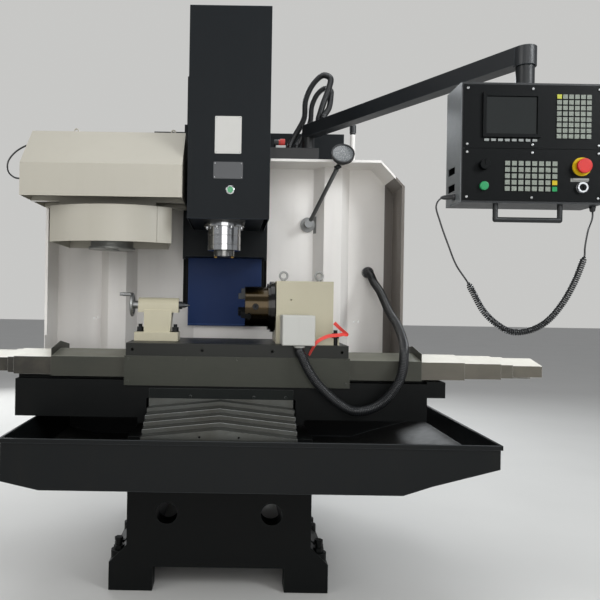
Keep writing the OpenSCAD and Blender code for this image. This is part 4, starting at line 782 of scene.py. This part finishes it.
# Painted highlight: the shell's left side is lightened where window light grazes it.
painted_highlight_x = (0.70, 0.7765)
painted_highlight = shell.within(painted_highlight_x, None, None)
shell.set(Base_Color=shell.mix(painted_highlight * 0.8, Wire(shell, plain), hue("6f7375")))
rounded("pendant_box", 0.0022, shell, worn("pendant_edge", "33383c", share=0.2), 3)
panel = Finish("panel_plastic", Specular_IOR_Level=0.1)
key_tops_y, panel_face_y = -0.6544, -0.6502
front = panel.axis("Y") < key_tops_y
face = panel.axis("Y") < panel_face_y
print_of_keys = panel.mix(panel.noise(900.0, 2).step(0.5, 0.56), hue("8d938a"), hue("6c716b"))
skin = panel.mix(panel.noise(40, 4), hue("040607"), hue("080b0c"))
key_fields = (
    ((1.082, 1.2), (1.679, 1.824), print_of_keys),
    ((1.082, 1.1), (1.808, 1.824), hue("aeb04c")),
    ((0.846, 1.04), (1.667, 1.677), hue("8f9391")),
    ((0.917, 1.09), (1.506, 1.606), print_of_keys),
    ((1.07, 1.09), (1.527, 1.543), hue("b9a52c")),
    ((1.07, 1.09), (1.506, 1.5225), hue("2f8a55")))
for across, up_span, colour in key_fields:
    skin = panel.mix(panel.within(across, None, up_span) * front, skin, colour)


def disc(x, z, radius):
    """1 within the radius of a point on the panel's front: a circle in X and Z"""
    return ((panel.axis("X") - x).to(2) + (panel.axis("Z") - z).to(2)) < radius * radius


stop_x, stop_z, stop_ring_r = 1.168, 1.589, 0.0305
lock_x, lock_z, lock_ring_r, lock_r = 1.169, 1.521, 0.0175, 0.0115
legend_plate = panel.within((1.133, 1.191), None, (1.540, 1.551))
skin = panel.mix(legend_plate * face, skin, hue("8f908d"))
skin = panel.mix(disc(stop_x, stop_z, stop_ring_r) * face, skin, hue("c7a91e"))
lock = disc(lock_x, lock_z, lock_ring_r) * (disc(lock_x, lock_z, lock_r) * -1.0 + 1.0) * face
panel.set(Base_Color=panel.mix(lock, skin, hue("b4b5b6")), Metallic=lock,
          Roughness=panel.noise(90, 3) * 0.1 + 0.36)
panel.bump(panel.noise(2600, 1), 0.0001, 0.5)
rounded("pendant_panel", 0.0007, panel)
red = Finish("red_plastic", Coat_Weight=0.4)
red.set(Base_Color=red.mix(red.noise(70, 3), hue("b81812"), hue("c9211a")), Roughness=0.28)
rounded("estop_button", 0.003, red, segments=3)
rounded("start_button", 0.001, green, segments=3)
rounded("override_knob", 0.0012, panel, segments=3)

pendant_x, pendant_z = 0.774, 1.468
screw_shape = [(0, 4.2), (0.8, 4.0), (1.3, 3.0), (1.3, 1.4), (0.5, 1.2)]
on_panel = (body_of["pendant_panel"], slot_of["pendant_panel"])
for i, (x, z) in enumerate([(x, z) for x in (20, 232, 448) for z in (18, 164, 190, 372)]):
    place = (pendant_x + x / 1000, -0.6538, pendant_z + z / 1000)
    wear(turned(f"panel_screw_{i}", place, (0, -1, 0), screw_shape, 16), bright_steel, *on_panel)
glass = Finish("screen_glass", Coat_Weight=1.0, Coat_Roughness=0.03, Roughness=0.1)
glass.set(Base_Color=glass.mix(glass.noise(5.0, 2), hue("0c100f"), hue("151a19")))
wear(plate("screen_glass", (0.8545, -0.6525, 1.6925), (0.165, 0.121), 0.003, 0.0012), glass, *on_panel)
plug_shape = [(0, 10.5), (7, 10.5), (9, 9.4), (9.5, 7.8), (34, 7.4), (38, 6.6), (44, 4.2), (46, 3.2)]
gland_shape = [(0, 10.5), (5, 10.5), (6, 9.5), (14, 8.6), (17, 6.5), (19, 3.2)]
plug = turned("coiled_cable_plug", (0.7738, -0.598, 1.493), (-1, 0.01, -0.06), plug_shape, 24)
gland = turned("coiled_cable_gland", (1.234, -0.6, 1.468), (0, 0, -1), gland_shape, 24)
for piece in (plug, gland):
    wear(piece, rubber, body_of["pendant_box"], "black_rubber")

# WORK LAMP
# A machine lamp on a steel arm that turns in its foot on the guard; the head is a black painted shell
# with a front glass pressed in small cells.
lamp_steel = sheet_metal("lamp_steel", "56585a", "8f9191", 0.3, (1, 1, 0.05), 0.2, 0.9)
rounded("lamp_arm", 0.0008, lamp_steel)
rounded("lamp_head", 0.001, arm_black)
lens_glass = Finish("lens_glass", Coat_Weight=0.6)
grain = lens_glass.cells(260.0)
lens_glass.set(Base_Color=lens_glass.mix(grain, hue("2b2f31"), hue("8a8e90")), Roughness=grain * 0.2 + 0.12)
lens_glass.bump(grain, 0.0006, 0.6)
lens = turned("lamp_lens", (0.522, 0.130, 1.801), (0, -0.8988, 0.4384),
              [(-3.0, 45.5), (-2.4, 45.0), (-1.6, 36), (-1.0, 24), (-0.6, 12), (-0.5, 1)], 40)
wear(lens, lens_glass, body_of["lamp_head"], slot_of["lamp_head"])
